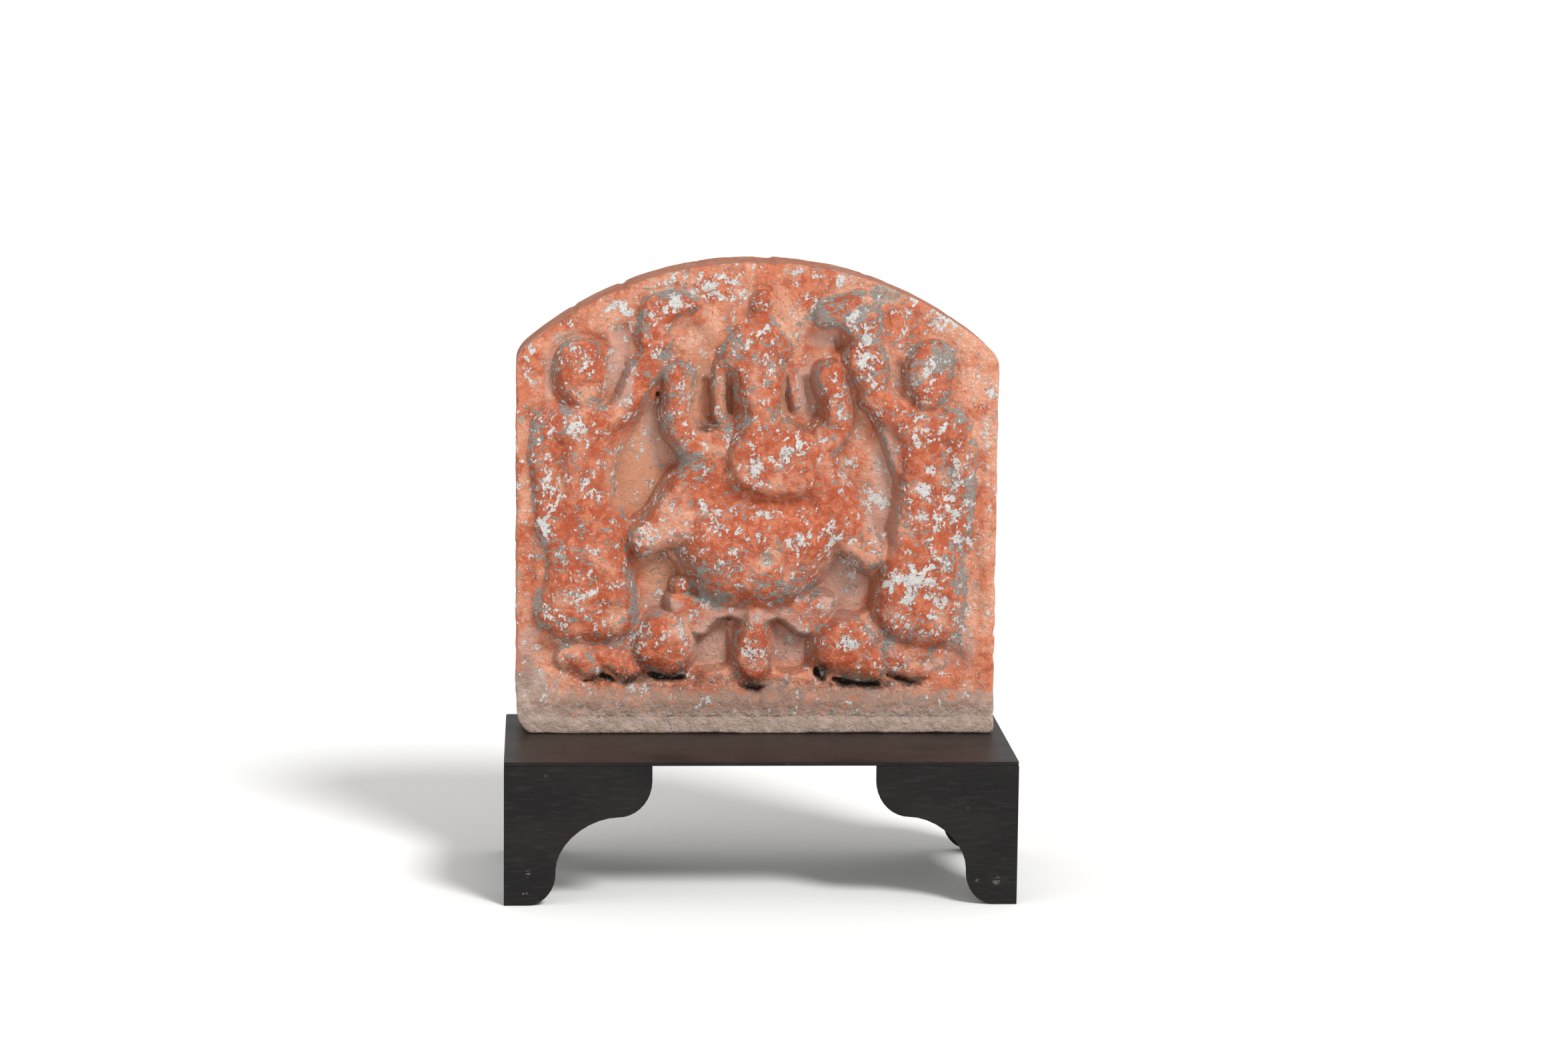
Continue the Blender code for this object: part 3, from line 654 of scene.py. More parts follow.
@dataclass(frozen=True)
class Colouring:
    """Where each tint lies.

    Each tint has soft patches on the face, as (x, z, half width, half height, strength). The foil is
    bright leaf, the tarnish old grey leaf. Pink and ochre are faded paint in the hollows.

    Attributes:
        base_top: Height up to which the base is bare stone, in millimetres.
        base_fade: Height over which the paint sets in.
        ledge_bare: How bare the ledge over it is.
        ledge_top: Height at which the ledge starts to be painted.
        ledge_fade: Height over which the paint gets whole there.
        line_dark: How dark the scored line on the base is.
        line_width: Half its width.
        line_middle: Where its middle lies.
        line_half: Half its length.
        side_weathered: How weathered the sides are.
        side_bare: How bare they are.
        back_bare: How bare the back's border is.
        back_barer: How much barer the rest of the back is.
    """

    foil: list[Patch] = field(default_factory=lambda: [
        (-205, 460, 18, 22, .5), (-215, 425, 25, 12, .3), (-282, 455, 12, 25, .7), (-290, 355, 8, 25, .6),
        (-293, 310, 5, 30, .5), (-235, 378, 28, 10, .9), (-250, 395, 20, 8, .4), (-168, 397, 16, 10, .8),
        (-256, 300, 12, 25, .8), (-258, 258, 12, 18, .9), (-245, 230, 12, 10, .5),
        (-205, 290, 25, 60, .25), (-205, 175, 35, 40, .45), (-165, 185, 12, 20, .4),
        (-230, 150, 30, 30, .25), (-122, 520, 16, 16, .7), (-100, 535, 14, 10, .8),
        (-125, 485, 12, 18, .5), (-50, 555, 35, 18, .75), (-30, 545, 12, 18, .8), (-170, 520, 14, 18, .8),
        (-110, 560, 25, 10, .4), (40, 575, 10, 8, .7), (50, 558, 12, 8, .6), (65, 540, 14, 6, .7),
        (85, 563, 30, 10, .5), (200, 535, 28, 18, .7), (235, 515, 20, 15, .6), (170, 505, 12, 14, .4),
        (283, 425, 10, 30, .7), (285, 380, 8, 30, .5), (287, 330, 5, 30, .45), (5, 480, 30, 25, .45),
        (2, 535, 8, 10, .5), (8, 430, 18, 30, .65), (0, 405, 12, 20, .4), (-92, 430, 10, 22, .8),
        (-105, 395, 8, 14, .4), (95, 430, 8, 14, .6), (98, 406, 8, 9, 1.0), (-8, 330, 14, 22, .9),
        (42, 350, 22, 18, .7), (75, 362, 10, 12, .8), (20, 315, 25, 12, .4), (10, 275, 12, 10, .9),
        (-65, 280, 12, 12, .8), (-65, 262, 16, 12, .7), (-35, 255, 25, 8, .5), (5, 245, 10, 14, .7),
        (75, 245, 30, 16, .7), (30, 235, 40, 20, .3), (-40, 225, 30, 20, .3), (-137, 240, 16, 16, .9),
        (-100, 240, 20, 14, .4), (142, 225, 14, 18, .5), (110, 250, 10, 20, .3), (125, 515, 14, 12, .9),
        (130, 475, 14, 20, .9), (145, 445, 12, 20, .6), (207, 440, 9, 22, .8), (210, 460, 10, 10, .6),
        (215, 385, 30, 14, .6), (200, 365, 25, 15, .4), (245, 350, 14, 20, .5), (210, 280, 24, 45, .6),
        (245, 300, 12, 50, .5), (250, 250, 10, 14, .8), (205, 190, 30, 35, .95), (210, 150, 35, 25, .5),
        (165, 200, 10, 20, .5), (150, 292, 12, 16, 1.4), (110, 325, 14, 14, .5), (125, 365, 8, 22, .5),
        (-115, 115, 28, 16, .6), (-140, 130, 10, 20, .7), (-80, 155, 10, 8, .6), (110, 115, 16, 14, .8),
        (135, 125, 12, 14, .5), (78, 158, 12, 10, .7), (155, 90, 15, 10, .3), (-2, 100, 14, 18, .75),
        (118, 205, 10, 18, .9), (-122, 175, 10, 12, .6), (-92, 185, 8, 8, .9), (-150, 55, 40, 10, .4),
        (-50, 60, 14, 14, .5), (205, 50, 10, 10, .3), (-100, 70, 15, 10, .3),
    ])
    tarnish: list[Patch] = field(default_factory=lambda: [
        (110, 525, 40, 25, .55), (75, 520, 14, 18, .9), (145, 505, 12, 40, .6), (150, 460, 8, 30, .5),
        (225, 465, 16, 22, .9), (190, 460, 8, 30, .5), (222, 410, 14, 14, .5), (-88, 345, 20, 14, .9),
        (-68, 330, 12, 12, .8), (-110, 395, 8, 20, .5), (-85, 320, 10, 8, .6), (-60, 195, 22, 20, .7),
        (-50, 172, 30, 12, .7), (30, 180, 60, 18, .5), (60, 210, 12, 14, .6), (-272, 380, 10, 30, .5),
        (-265, 240, 12, 30, .5), (-240, 220, 14, 14, .6), (-265, 150, 10, 40, .5),
        (-240, 122, 30, 10, .5), (-152, 165, 8, 40, .8), (-200, 122, 60, 8, .3), (252, 170, 9, 50, .7),
        (195, 128, 30, 12, .6), (165, 120, 20, 12, .5), (240, 225, 14, 14, .5), (262, 300, 8, 70, .5),
        (232, 330, 10, 30, .5), (245, 395, 16, 16, .5), (170, 362, 10, 14, .5), (-30, 475, 10, 24, .5),
        (30, 480, 10, 24, .5), (-15, 440, 8, 40, .3), (-95, 545, 30, 8, .8), (-140, 515, 6, 30, .5),
        (-112, 470, 10, 25, .5), (-125, 450, 20, 14, .5), (-88, 455, 12, 10, .7), (-18, 393, 8, 8, .9),
        (-38, 385, 8, 14, .5), (-95, 570, 20, 8, .5), (100, 575, 50, 6, .5), (205, 515, 30, 12, .4),
        (155, 545, 25, 14, .5),
    ])
    pink: list[Patch] = field(default_factory=lambda: [
        (-168, 455, 16, 50, .9), (-240, 490, 20, 10, .6), (-255, 440, 7, 35, .7), (-130, 385, 14, 35, .7),
        (-115, 350, 30, 20, .6), (158, 330, 16, 50, .9), (150, 262, 20, 30, .7), (165, 240, 10, 20, .6),
        (62, 425, 16, 40, .8), (35, 430, 8, 25, .5), (85, 490, 22, 14, .7), (110, 185, 30, 35, 1.0),
        (105, 160, 30, 16, .9), (-55, 112, 24, 30, 1.0), (44, 112, 24, 30, 1.0), (-50, 140, 30, 8, .5),
        (168, 440, 10, 30, .5), (-280, 110, 16, 30, .7), (-250, 118, 20, 10, .4), (-200, 105, 40, 8, .3),
        (255, 110, 20, 30, .6), (200, 95, 40, 14, .3), (0, 148, 95, 12, .55), (165, 105, 20, 12, .5),
        (225, 85, 20, 12, .7), (-115, 160, 25, 12, .8),
    ])
    ochre: list[Patch] = field(default_factory=lambda: [
        (-70, 420, 18, 45, 1.0), (-150, 320, 35, 50, .9), (-165, 290, 20, 20, .6),
        (-120, 195, 22, 28, .9), (-40, 415, 10, 35, .7), (35, 395, 16, 14, .5), (-25, 520, 14, 14, .3),
        (20, 395, 30, 12, .4), (135, 300, 12, 40, .5),
    ])
    bare: list[Patch] = field(default_factory=lambda: [
        (-280, 45, 40, 45, .8), (275, 22, 34, 22, .9), (20, 48, 50, 22, .7), (-10, 35, 40, 25, .5),
        (124, 527, 12, 8, .8), (10, 220, 10, 10, .8), (272, 183, 3, 8, .8), (-210, 31, 6, 5, .8),
        (-290, 390, 5, 6, .8), (158, 548, 20, 13, 1.2),
    ])
    dust: list[Patch] = field(default_factory=lambda: [
        (0, 42, 420, 22, .75), (20, 48, 70, 16, .8), (-60, 66, 150, 9, .6), (150, 56, 90, 10, .65),
        (-285, 80, 20, 30, .6),
    ])
    weathered: list[Patch] = field(default_factory=lambda: [
        (-235, 515, 40, 10, .5), (60, 586, 100, 6, .7), (200, 545, 60, 8, .6), (-60, 384, 20, 10, .8),
        (75, 384, 18, 12, .6), (-296, 300, 4, 160, .4),
    ])
    # dark patches: painted shadow under the feet and the pendant and at the foot of the left niche, and
    # darker spots in two chips
    dark: list[Patch] = field(default_factory=lambda: [
        (-8, 57, 22, 7, .55), (82, 74, 9, 14, .7), (20, 44, 60, 16, .22), (-120, 72, 60, 8, .6),
        (130, 62, 60, 8, .6), (190, 62, 20, 6, .6), (11, 218, 4, 5, .5), (124, 526, 8, 4, .45),
        (-60, 381, 18, 7, .45), (-160, 66, 60, 8, .5), (0, 62, 250, 10, .3),
    ])

    base_top: float = 18.0
    base_fade: float = 9.0
    ledge_bare: float = 0.66
    ledge_top: float = 36.0
    ledge_fade: float = 44.0
    line_dark: float = 0.42
    line_width: float = 1.8
    line_middle: float = 10.0
    line_half: float = 240.0
    side_weathered: float = 0.75
    side_bare: float = 0.40
    back_bare: float = 0.15
    back_barer: float = 0.95

    def strength(self, tint: Tint, x: np.ndarray, z: np.ndarray) -> np.ndarray:
        """Work out how strongly a tint lies at each place.

        Args:
            tint: The tint.
            x: Places across the face.
            z: Places up the face.

        Returns:
            Its strength, from 0 up.
        """
        total = np.zeros(x.shape)
        for middle_x, middle_z, half_x, half_z, amount in getattr(self, tint.value):
            away = ((x - middle_x) / half_x) ** 2 + ((z - middle_z) / half_z) ** 2
            total = np.maximum(total, amount * np.exp(-0.8 * away**1.4))
        return total


# Finishes


@dataclass(frozen=True)
class Grain:
    """Random cloudiness from about 0.2 to 0.8.

    Attributes:
        size: Length of its clouds in millimetres.
        detail: How many finer octaves it has.
        harshness: How strong they are.
        bent: How much it is pulled about.
        stretch: Length of the clouds along X, Y and Z, as shares of the size.
        offset: Shift in metres that makes it another pattern.
    """

    size: float
    detail: float = 3.0
    harshness: float = 0.55
    bent: float = 0.0
    stretch: tuple[float, float, float] = (1.0, 1.0, 1.0)
    offset: float = 0.0


@dataclass(frozen=True)
class Layer:
    """A layer of paint, foil, dirt, wear or painted shade, which shows where its pattern is above a
    level.

    Attributes:
        colour: Its sRGB colour.
        level: The level.
        soft: Softness of its edge, or None where the pattern is its mask as it is.
        strength: How fully it covers.
        roughness: Its roughness, or None to keep what is under it.
        metallic: How metallic it is, or None to keep what is under it.
        raised: How high it stands in millimetres.
    """

    colour: str
    level: float = 0.5
    soft: float | None = None
    strength: float = 1.0
    roughness: float | None = None
    metallic: float | None = None
    raised: float = 0.0


class Coat:
    """A material that is painted in layers, each over the ones before it."""

    def __init__(self, name: str, ground: str, roughness: float, gloss: float = 0.35) -> None:
        """Start with a plain ground.

        Args:
            name: The material's name.
            ground: The ground's sRGB colour.
            roughness: The ground's roughness.
            gloss: How strongly its surface reflects.
        """
        self.material = bpy.data.materials.new(name)
        self.material.use_nodes = True
        self.tree = self.material.node_tree
        self.shader = self.tree.nodes["Principled BSDF"]
        self.shader.inputs["Specular IOR Level"].default_value = gloss
        self.place = self.add("ShaderNodeTexCoord", output="Object")
        self.look = {"Base Color": linear(ground), "Roughness": roughness, "Metallic": 0.0}
        self.height = 0.0

    def feed(self, socket: Socket, value: Socket | float | tuple) -> None:
        """Link a socket to another one, or give it a value.

        Args:
            socket: The socket.
            value: What feeds it.
        """
        if isinstance(value, Socket):
            self.tree.links.new(value, socket)
        else:
            socket.default_value = value

    def add(
        self, kind: str, inputs: dict | None = None, output: int | str = 0, **settings: object
    ) -> Socket:
        """Add one node with its settings and links.

        Args:
            kind: The node's type.
            inputs: Values, or sockets to link, by input name or number.
            output: Name or number of the output that is wanted.
            settings: Settings of the node itself.

        Returns:
            That output.
        """
        node = self.tree.nodes.new(kind)
        for name, value in settings.items():
            setattr(node, name, value)
        for key, value in (inputs or {}).items():
            self.feed(node.inputs[key], value)
        return node.outputs[output]

    def weighed(self, *parts: tuple, start: Socket | float = 0.0) -> Socket:
        """Add up amounts, each times its own weight.

        Args:
            parts: Pairs of an amount and its weight.
            start: What they are added to.

        Returns:
            The sum.
        """
        for amount, weight in parts:
            start = self.add("ShaderNodeMath", {0: amount, 1: weight, 2: start}, operation="MULTIPLY_ADD")
        return start

    def frayed(self, amount: Socket, pattern: Socket, by: float) -> Socket:
        """An amount whose edges are frayed by a pattern, so that its mask gets a ragged outline."""
        return self.weighed((pattern, by), (amount, 1.0), start=-0.5 * by)

    def spread(self, grain: Grain) -> Socket:
        """The places of the object, shifted and stretched for a grain."""
        scale = tuple(1.0 / share for share in grain.stretch)
        inputs = {"Vector": self.place, "Location": (grain.offset,) * 3, "Scale": scale}
        return self.add("ShaderNodeMapping", inputs)

    def grain(self, grain: Grain) -> Socket:
        """Lay out a grain over the object."""
        return self.add("ShaderNodeTexNoise", {
            "Vector": self.spread(grain), "Scale": 1.0 / (grain.size * MM), "Detail": grain.detail,
            "Roughness": grain.harshness, "Distortion": grain.bent,
        })

    def flakes(self, cells: Grain, tear: Socket) -> Socket:
        """Torn flakes that each have one random number from 0 to 1.

        Args:
            cells: Their size, stretch and offset. It is bent by as many flake sizes as it says.
            tear: A grain that tears their edges.

        Returns:
            The numbers.
        """
        pull = self.weighed((tear, cells.size * cells.bent * MM))
        torn = self.add("ShaderNodeVectorMath", {0: pull, 1: self.spread(cells)}, operation="ADD")
        colour = self.add("ShaderNodeTexVoronoi", {
            "Vector": torn, "Scale": 1.0 / (cells.size * MM), "Randomness": 1.0,
        }, "Color")
        return self.add("ShaderNodeSeparateColor", {0: colour})

    def shown(self, layer: Layer, pattern: Socket) -> Socket:
        """Work out where a layer shows.

        Args:
            layer: The layer.
            pattern: The pattern that it follows.

        Returns:
            Its mask, from 0 to its strength.
        """
        if layer.soft is None:
            return self.weighed((pattern, layer.strength))
        return self.add("ShaderNodeMapRange", {
            "Value": pattern, "From Min": layer.level - layer.soft, "From Max": layer.level + layer.soft,
            "To Max": layer.strength,
        }, interpolation_type="SMOOTHSTEP")

    def mottled(self, ground: str, layer: Layer, pattern: Socket) -> Socket:
        """A ground colour with another one where a layer shows on it."""
        inputs = {0: self.shown(layer, pattern), 6: linear(ground), 7: linear(layer.colour)}
        return self.add("ShaderNodeMix", inputs, 2, data_type="RGBA")

    def lay(self, layer: Layer, pattern: Socket, within: Socket | None = None,
            colour: Socket | None = None) -> Socket:
        """Lay a layer over what is there.

        Args:
            layer: The layer.
            pattern: The pattern that it follows.
            within: A mask that keeps it in.
            colour: A mottled colour to use for the layer's own.

        Returns:
            Its mask.
        """
        share = self.shown(layer, pattern)
        if within is not None:
            share = self.weighed((share, within))
        plain = linear(layer.colour)
        over = {"Base Color": plain if colour is None else colour, "Roughness": layer.roughness,
                "Metallic": layer.metallic}
        for name, above in over.items():
            if above is None:
                continue
            kind, first, result = ("RGBA", 6, 2) if name == "Base Color" else ("FLOAT", 2, 0)
            inputs = {0: share, first: self.look[name], first + 1: above}
            self.look[name] = self.add("ShaderNodeMix", inputs, result, data_type=kind)
        if layer.raised:
            self.raise_by((share, layer.raised))
        return share

    def raise_by(self, *parts: tuple) -> None:
        """Raise the surface by amounts, each with its height in millimetres."""
        self.height = self.weighed(*parts, start=self.height)

    def finish(self) -> bpy.types.Material:
        """Link the layers to the shader and return the material."""
        for name, value in self.look.items():
            self.feed(self.shader.inputs[name], value)
        if isinstance(self.height, Socket):
            bump = self.add("ShaderNodeBump", {"Height": self.height, "Distance": MM, "Strength": 1.0})
            self.feed(self.shader.inputs["Normal"], bump)
        return self.material


@dataclass(frozen=True)
class PaintedSandstone:
    """Vermilion oil paint, brushed on in many coats over carved sandstone, with worn silver foil.

    The paint is matt and mottled, dusty where hands don't reach. The foil is thin, crinkled and
    torn to flakes, bright on raised forms and tarnished grey along their edges.
    """

    ground: str = "D07A58"
    ground_roughness: float = 0.62

    # patterns, of which the finest are drawn coarse enough to show in the picture
    broad: Grain = Grain(46, 4, 0.6)
    blotch: Grain = Grain(13, 5, 0.65, 0.6, offset=0.31)
    speck: Grain = Grain(2.6, 4, 0.7, offset=0.77)
    pores: Grain = Grain(1.1, 2, 0.6, offset=0.12)
    fleck: Grain = Grain(3.8, 4, 0.7, 0.5, (1.2, 1.0, 0.9), 7.1)
    pit: Grain = Grain(4.6, 4, 0.7, 0.4, offset=8.3)
    lump: Grain = Grain(6.5, 4, 0.6, 0.4, offset=6.3)
    stone_mottle: Grain = Grain(16, 6, 0.7, offset=0.5)
    torn: Grain = Grain(8.5, 5, 0.66, 0.9, (1.3, 1.0, 0.8), 1.3)
    sheet: Grain = Grain(24, 4, 0.6, 0.6, offset=2.1)
    streak: Grain = Grain(3.0, 4, 0.7, 0.5, (3.0, 1.0, 0.7), 2.9)
    tear: Grain = Grain(5.0, 5, 0.7, 0.6, offset=3.7)
    leaf: Grain = Grain(15, 3, 0.6, 0.5, offset=4.4)
    large_flakes: Grain = Grain(9.0, bent=1.6, stretch=(1 / 1.1, 1.0, 1 / 0.9), offset=4.4)
    small_flakes: Grain = Grain(3.6, bent=1.6, stretch=(1 / 1.1, 1.0, 1 / 0.9), offset=4.9)
    crinkle: Grain = Grain(3.2, 5, 0.75, 1.6, (1.0, 1.0, 0.6), 5.5)

    # layers, from the paint out
    deep: Layer = Layer("B45432", 0.55, 0.10)
    light: Layer = Layer("DD9C7E", 0.50, 0.10)
    deep_specks: Layer = Layer("B45432", 0.63, 0.03)
    chalk: Layer = Layer("E3C0AE", 0.60, 0.02, roughness=0.8)
    pits: Layer = Layer("8E4A33", 0.665, 0.015, 0.8, 0.8)
    ochre: Layer = Layer("CB9274", 0.42, 0.22, 0.86, 0.85)
    pink: Layer = Layer("CDA392", 0.42, 0.22, 0.86, 0.85)
    stone: Layer = Layer("CBB2A6", 0.50, 0.07, roughness=0.9, raised=-0.35)
    stone_dark: Layer = Layer("AB9583", 0.50, 0.22)
    dust: Layer = Layer("966E5C", 0.55, 0.30, 0.75, 0.9)
    weathered: Layer = Layer("A0664C", 0.45, 0.30, 0.7, 0.85)
    # dirt and painted shade on steep walls, darker on walls that turn from the light
    wall_grime_and_shade: Layer = Layer("83492F", 0.66, 0.26, 0.5, 0.8)
    # painted shade in the hollows, darkest where the carving is sunk deepest
    shade: Layer = Layer("83492F", strength=0.36, roughness=0.85)
    # painted shadow under the feet and the pendant, and the dark scored line and chips, from the dark
    # patches
    painted_shadow_and_dark_marks: Layer = Layer("3A2E26", 0.40, 0.22, 0.85, 0.9)
    # painted shadow deep in the narrow gaps under the feet, beside the seat and under the hands
    painted_gap_shadow: Layer = Layer("3A2E26", 0.45, 0.10, 0.92, 0.95)
    tarnish: Layer = Layer("A39D96", 0.60, 0.008, 1.0, 0.5, 0.25, 0.3)
    tarnish_dark: Layer = Layer("86807A", 0.50, 0.12)
    foil: Layer = Layer("F7F5F2", 0.89, 0.015, 1.0, 0.34, 0.45, 0.25)
    foil_dull: Layer = Layer("BDB9B4", 0.55, 0.06)

    # how much each pattern counts
    deep_on_figures: float = 0.09
    light_on_figures: float = -0.10
    chalk_on_flats: float = 0.75
    chalk_on_figures: float = -0.5
    fleck_gathering: float = 0.35
    faded_fray: float = 1.3
    stone_fray: float = 1.5
    dirt_fray: float = 1.0
    wall_grime_and_shade_fray: float = 1.2
    painted_gap_shadow_fray: float = 0.7
    torn_share: float = 0.68
    sheet_share: float = 0.32
    tarnish_on_borders: float = 0.28
    tarnish_on_figures: float = 0.024
    tarnish_in_patches: float = 0.14
    large_share: float = 0.62
    small_share: float = 0.38
    foil_on_figures: float = 0.04
    foil_in_patches: float = 0.38
    leaf_fray: float = 0.9
    tear_fray: float = 1.1

    # heights in millimetres
    blotch_height: float = 3.2
    speck_height: float = 1.6
    lump_height: float = 3.2
    crinkle_height: float = 1.6
    pore_height: float = 0.25

    def make(self) -> bpy.types.Material:
        """Build the material.

        Returns:
            The material.
        """
        coat = Coat("vermilion_painted_sandstone", self.ground, self.ground_roughness)
        broad, blotch, speck = (coat.grain(grain) for grain in (self.broad, self.blotch, self.speck))
        lies = {
            name: coat.add("ShaderNodeAttribute", output="Fac", attribute_name=name)
            for name in [*FACE, *(tint.value for tint in Tint)]
        }
        self.paint(coat, lies["figure"], broad, blotch, speck)
        self.wear(coat, lies, blotch, speck)
        self.silver(coat, lies)
        coat.raise_by((coat.grain(self.pores), self.pore_height))
        return coat.finish()

    def paint(self, coat: Coat, figure: Socket, broad: Socket, blotch: Socket, speck: Socket) -> None:
        """Brush on the coats of paint: deeper on the rubbed figures, lighter and chalky on the flats.

        Args:
            coat: The material.
            figure: Where the figures are.
            broad: The broadest pattern.
            blotch: The middling one.
            speck: The fine one.
        """
        coat.lay(self.deep, coat.weighed((figure, self.deep_on_figures), start=blotch))
        coat.lay(self.light, coat.weighed((figure, self.light_on_figures), start=broad))
        coat.lay(self.deep_specks, speck)
        flats = coat.weighed((figure, self.chalk_on_figures), start=self.chalk_on_flats)
        coat.lay(self.chalk, coat.frayed(coat.grain(self.fleck), broad, self.fleck_gathering), flats)
        coat.lay(self.pits, coat.grain(self.pit))
        coat.raise_by((blotch, self.blotch_height), (speck, self.speck_height),
                      (coat.grain(self.lump), self.lump_height))

    def wear(self, coat: Coat, lies: dict[str, Socket], blotch: Socket, speck: Socket) -> None:
        """Fade the ground behind the figures, bare the stone of the base and chips, add the dirt and the
        painted shade.

        Args:
            coat: The material.
            lies: Where each thing lies on the mesh.
            blotch: The middling pattern, which frays what is soft.
            speck: The fine one.
        """
        stone = coat.mottled(self.stone.colour, self.stone_dark, coat.grain(self.stone_mottle))
        for layer, name, fray, colour in (
            (self.ochre, Tint.OCHRE.value, self.faded_fray, None),
            (self.pink, Tint.PINK.value, self.faded_fray, None),
            (self.stone, Tint.BARE.value, self.stone_fray, stone),
            (self.dust, Tint.DUST.value, self.dirt_fray, None),
            (self.weathered, Tint.WEATHERED.value, self.dirt_fray, None),
            (self.wall_grime_and_shade, "steep", self.wall_grime_and_shade_fray, None),
        ):
            coat.lay(layer, coat.frayed(lies[name], blotch, fray), colour=colour)
        # painted shade in the hollows
        coat.lay(self.shade, lies["cavity"])
        # painted shadow and dark marks where the dark patches lie
        coat.lay(self.painted_shadow_and_dark_marks, coat.frayed(lies[Tint.DARK.value], blotch, self.dirt_fray))
        # painted shadow in the gaps
        coat.lay(self.painted_gap_shadow, coat.frayed(lies["gap"], speck, self.painted_gap_shadow_fray))

    def silver(self, coat: Coat, lies: dict[str, Socket]) -> None:
        """Lay tarnished foil along the figures' borders, then bright flakes over it.

        Args:
            coat: The material.
            lies: Where each thing lies on the mesh.
        """
        figure = lies["figure"]
        border = coat.weighed((figure, coat.weighed((figure, -1.0), start=1.0)))
        ragged = coat.weighed(
            (coat.grain(self.torn), self.torn_share), (coat.grain(self.sheet), self.sheet_share),
            (border, self.tarnish_on_borders), (figure, self.tarnish_on_figures),
            (lies[Tint.TARNISH.value], self.tarnish_in_patches))
        grey = coat.mottled(self.tarnish.colour, self.tarnish_dark, coat.grain(self.streak))
        coat.lay(self.tarnish, ragged, colour=grey)

        tear = coat.grain(self.tear)
        flaked = coat.weighed(
            (coat.flakes(self.large_flakes, tear), self.large_share),
            (coat.flakes(self.small_flakes, tear), self.small_share),
            (figure, self.foil_on_figures), (lies[Tint.FOIL.value], self.foil_in_patches))
        flaked = coat.frayed(flaked, coat.grain(self.leaf), self.leaf_fray)
        flaked = coat.frayed(flaked, tear, self.tear_fray)
        crinkle = coat.grain(self.crinkle)
        silver = coat.mottled(self.foil.colour, self.foil_dull, crinkle)
        bright = coat.lay(self.foil, flaked, colour=silver)
        coat.raise_by((coat.weighed((crinkle, bright)), self.crinkle_height))


@dataclass(frozen=True)
class Spot:
    """A worn spot on the stand: its middle in metres, its radius in millimetres and its strength."""

    middle: tuple[float, float, float]
    radius: float
    strength: float


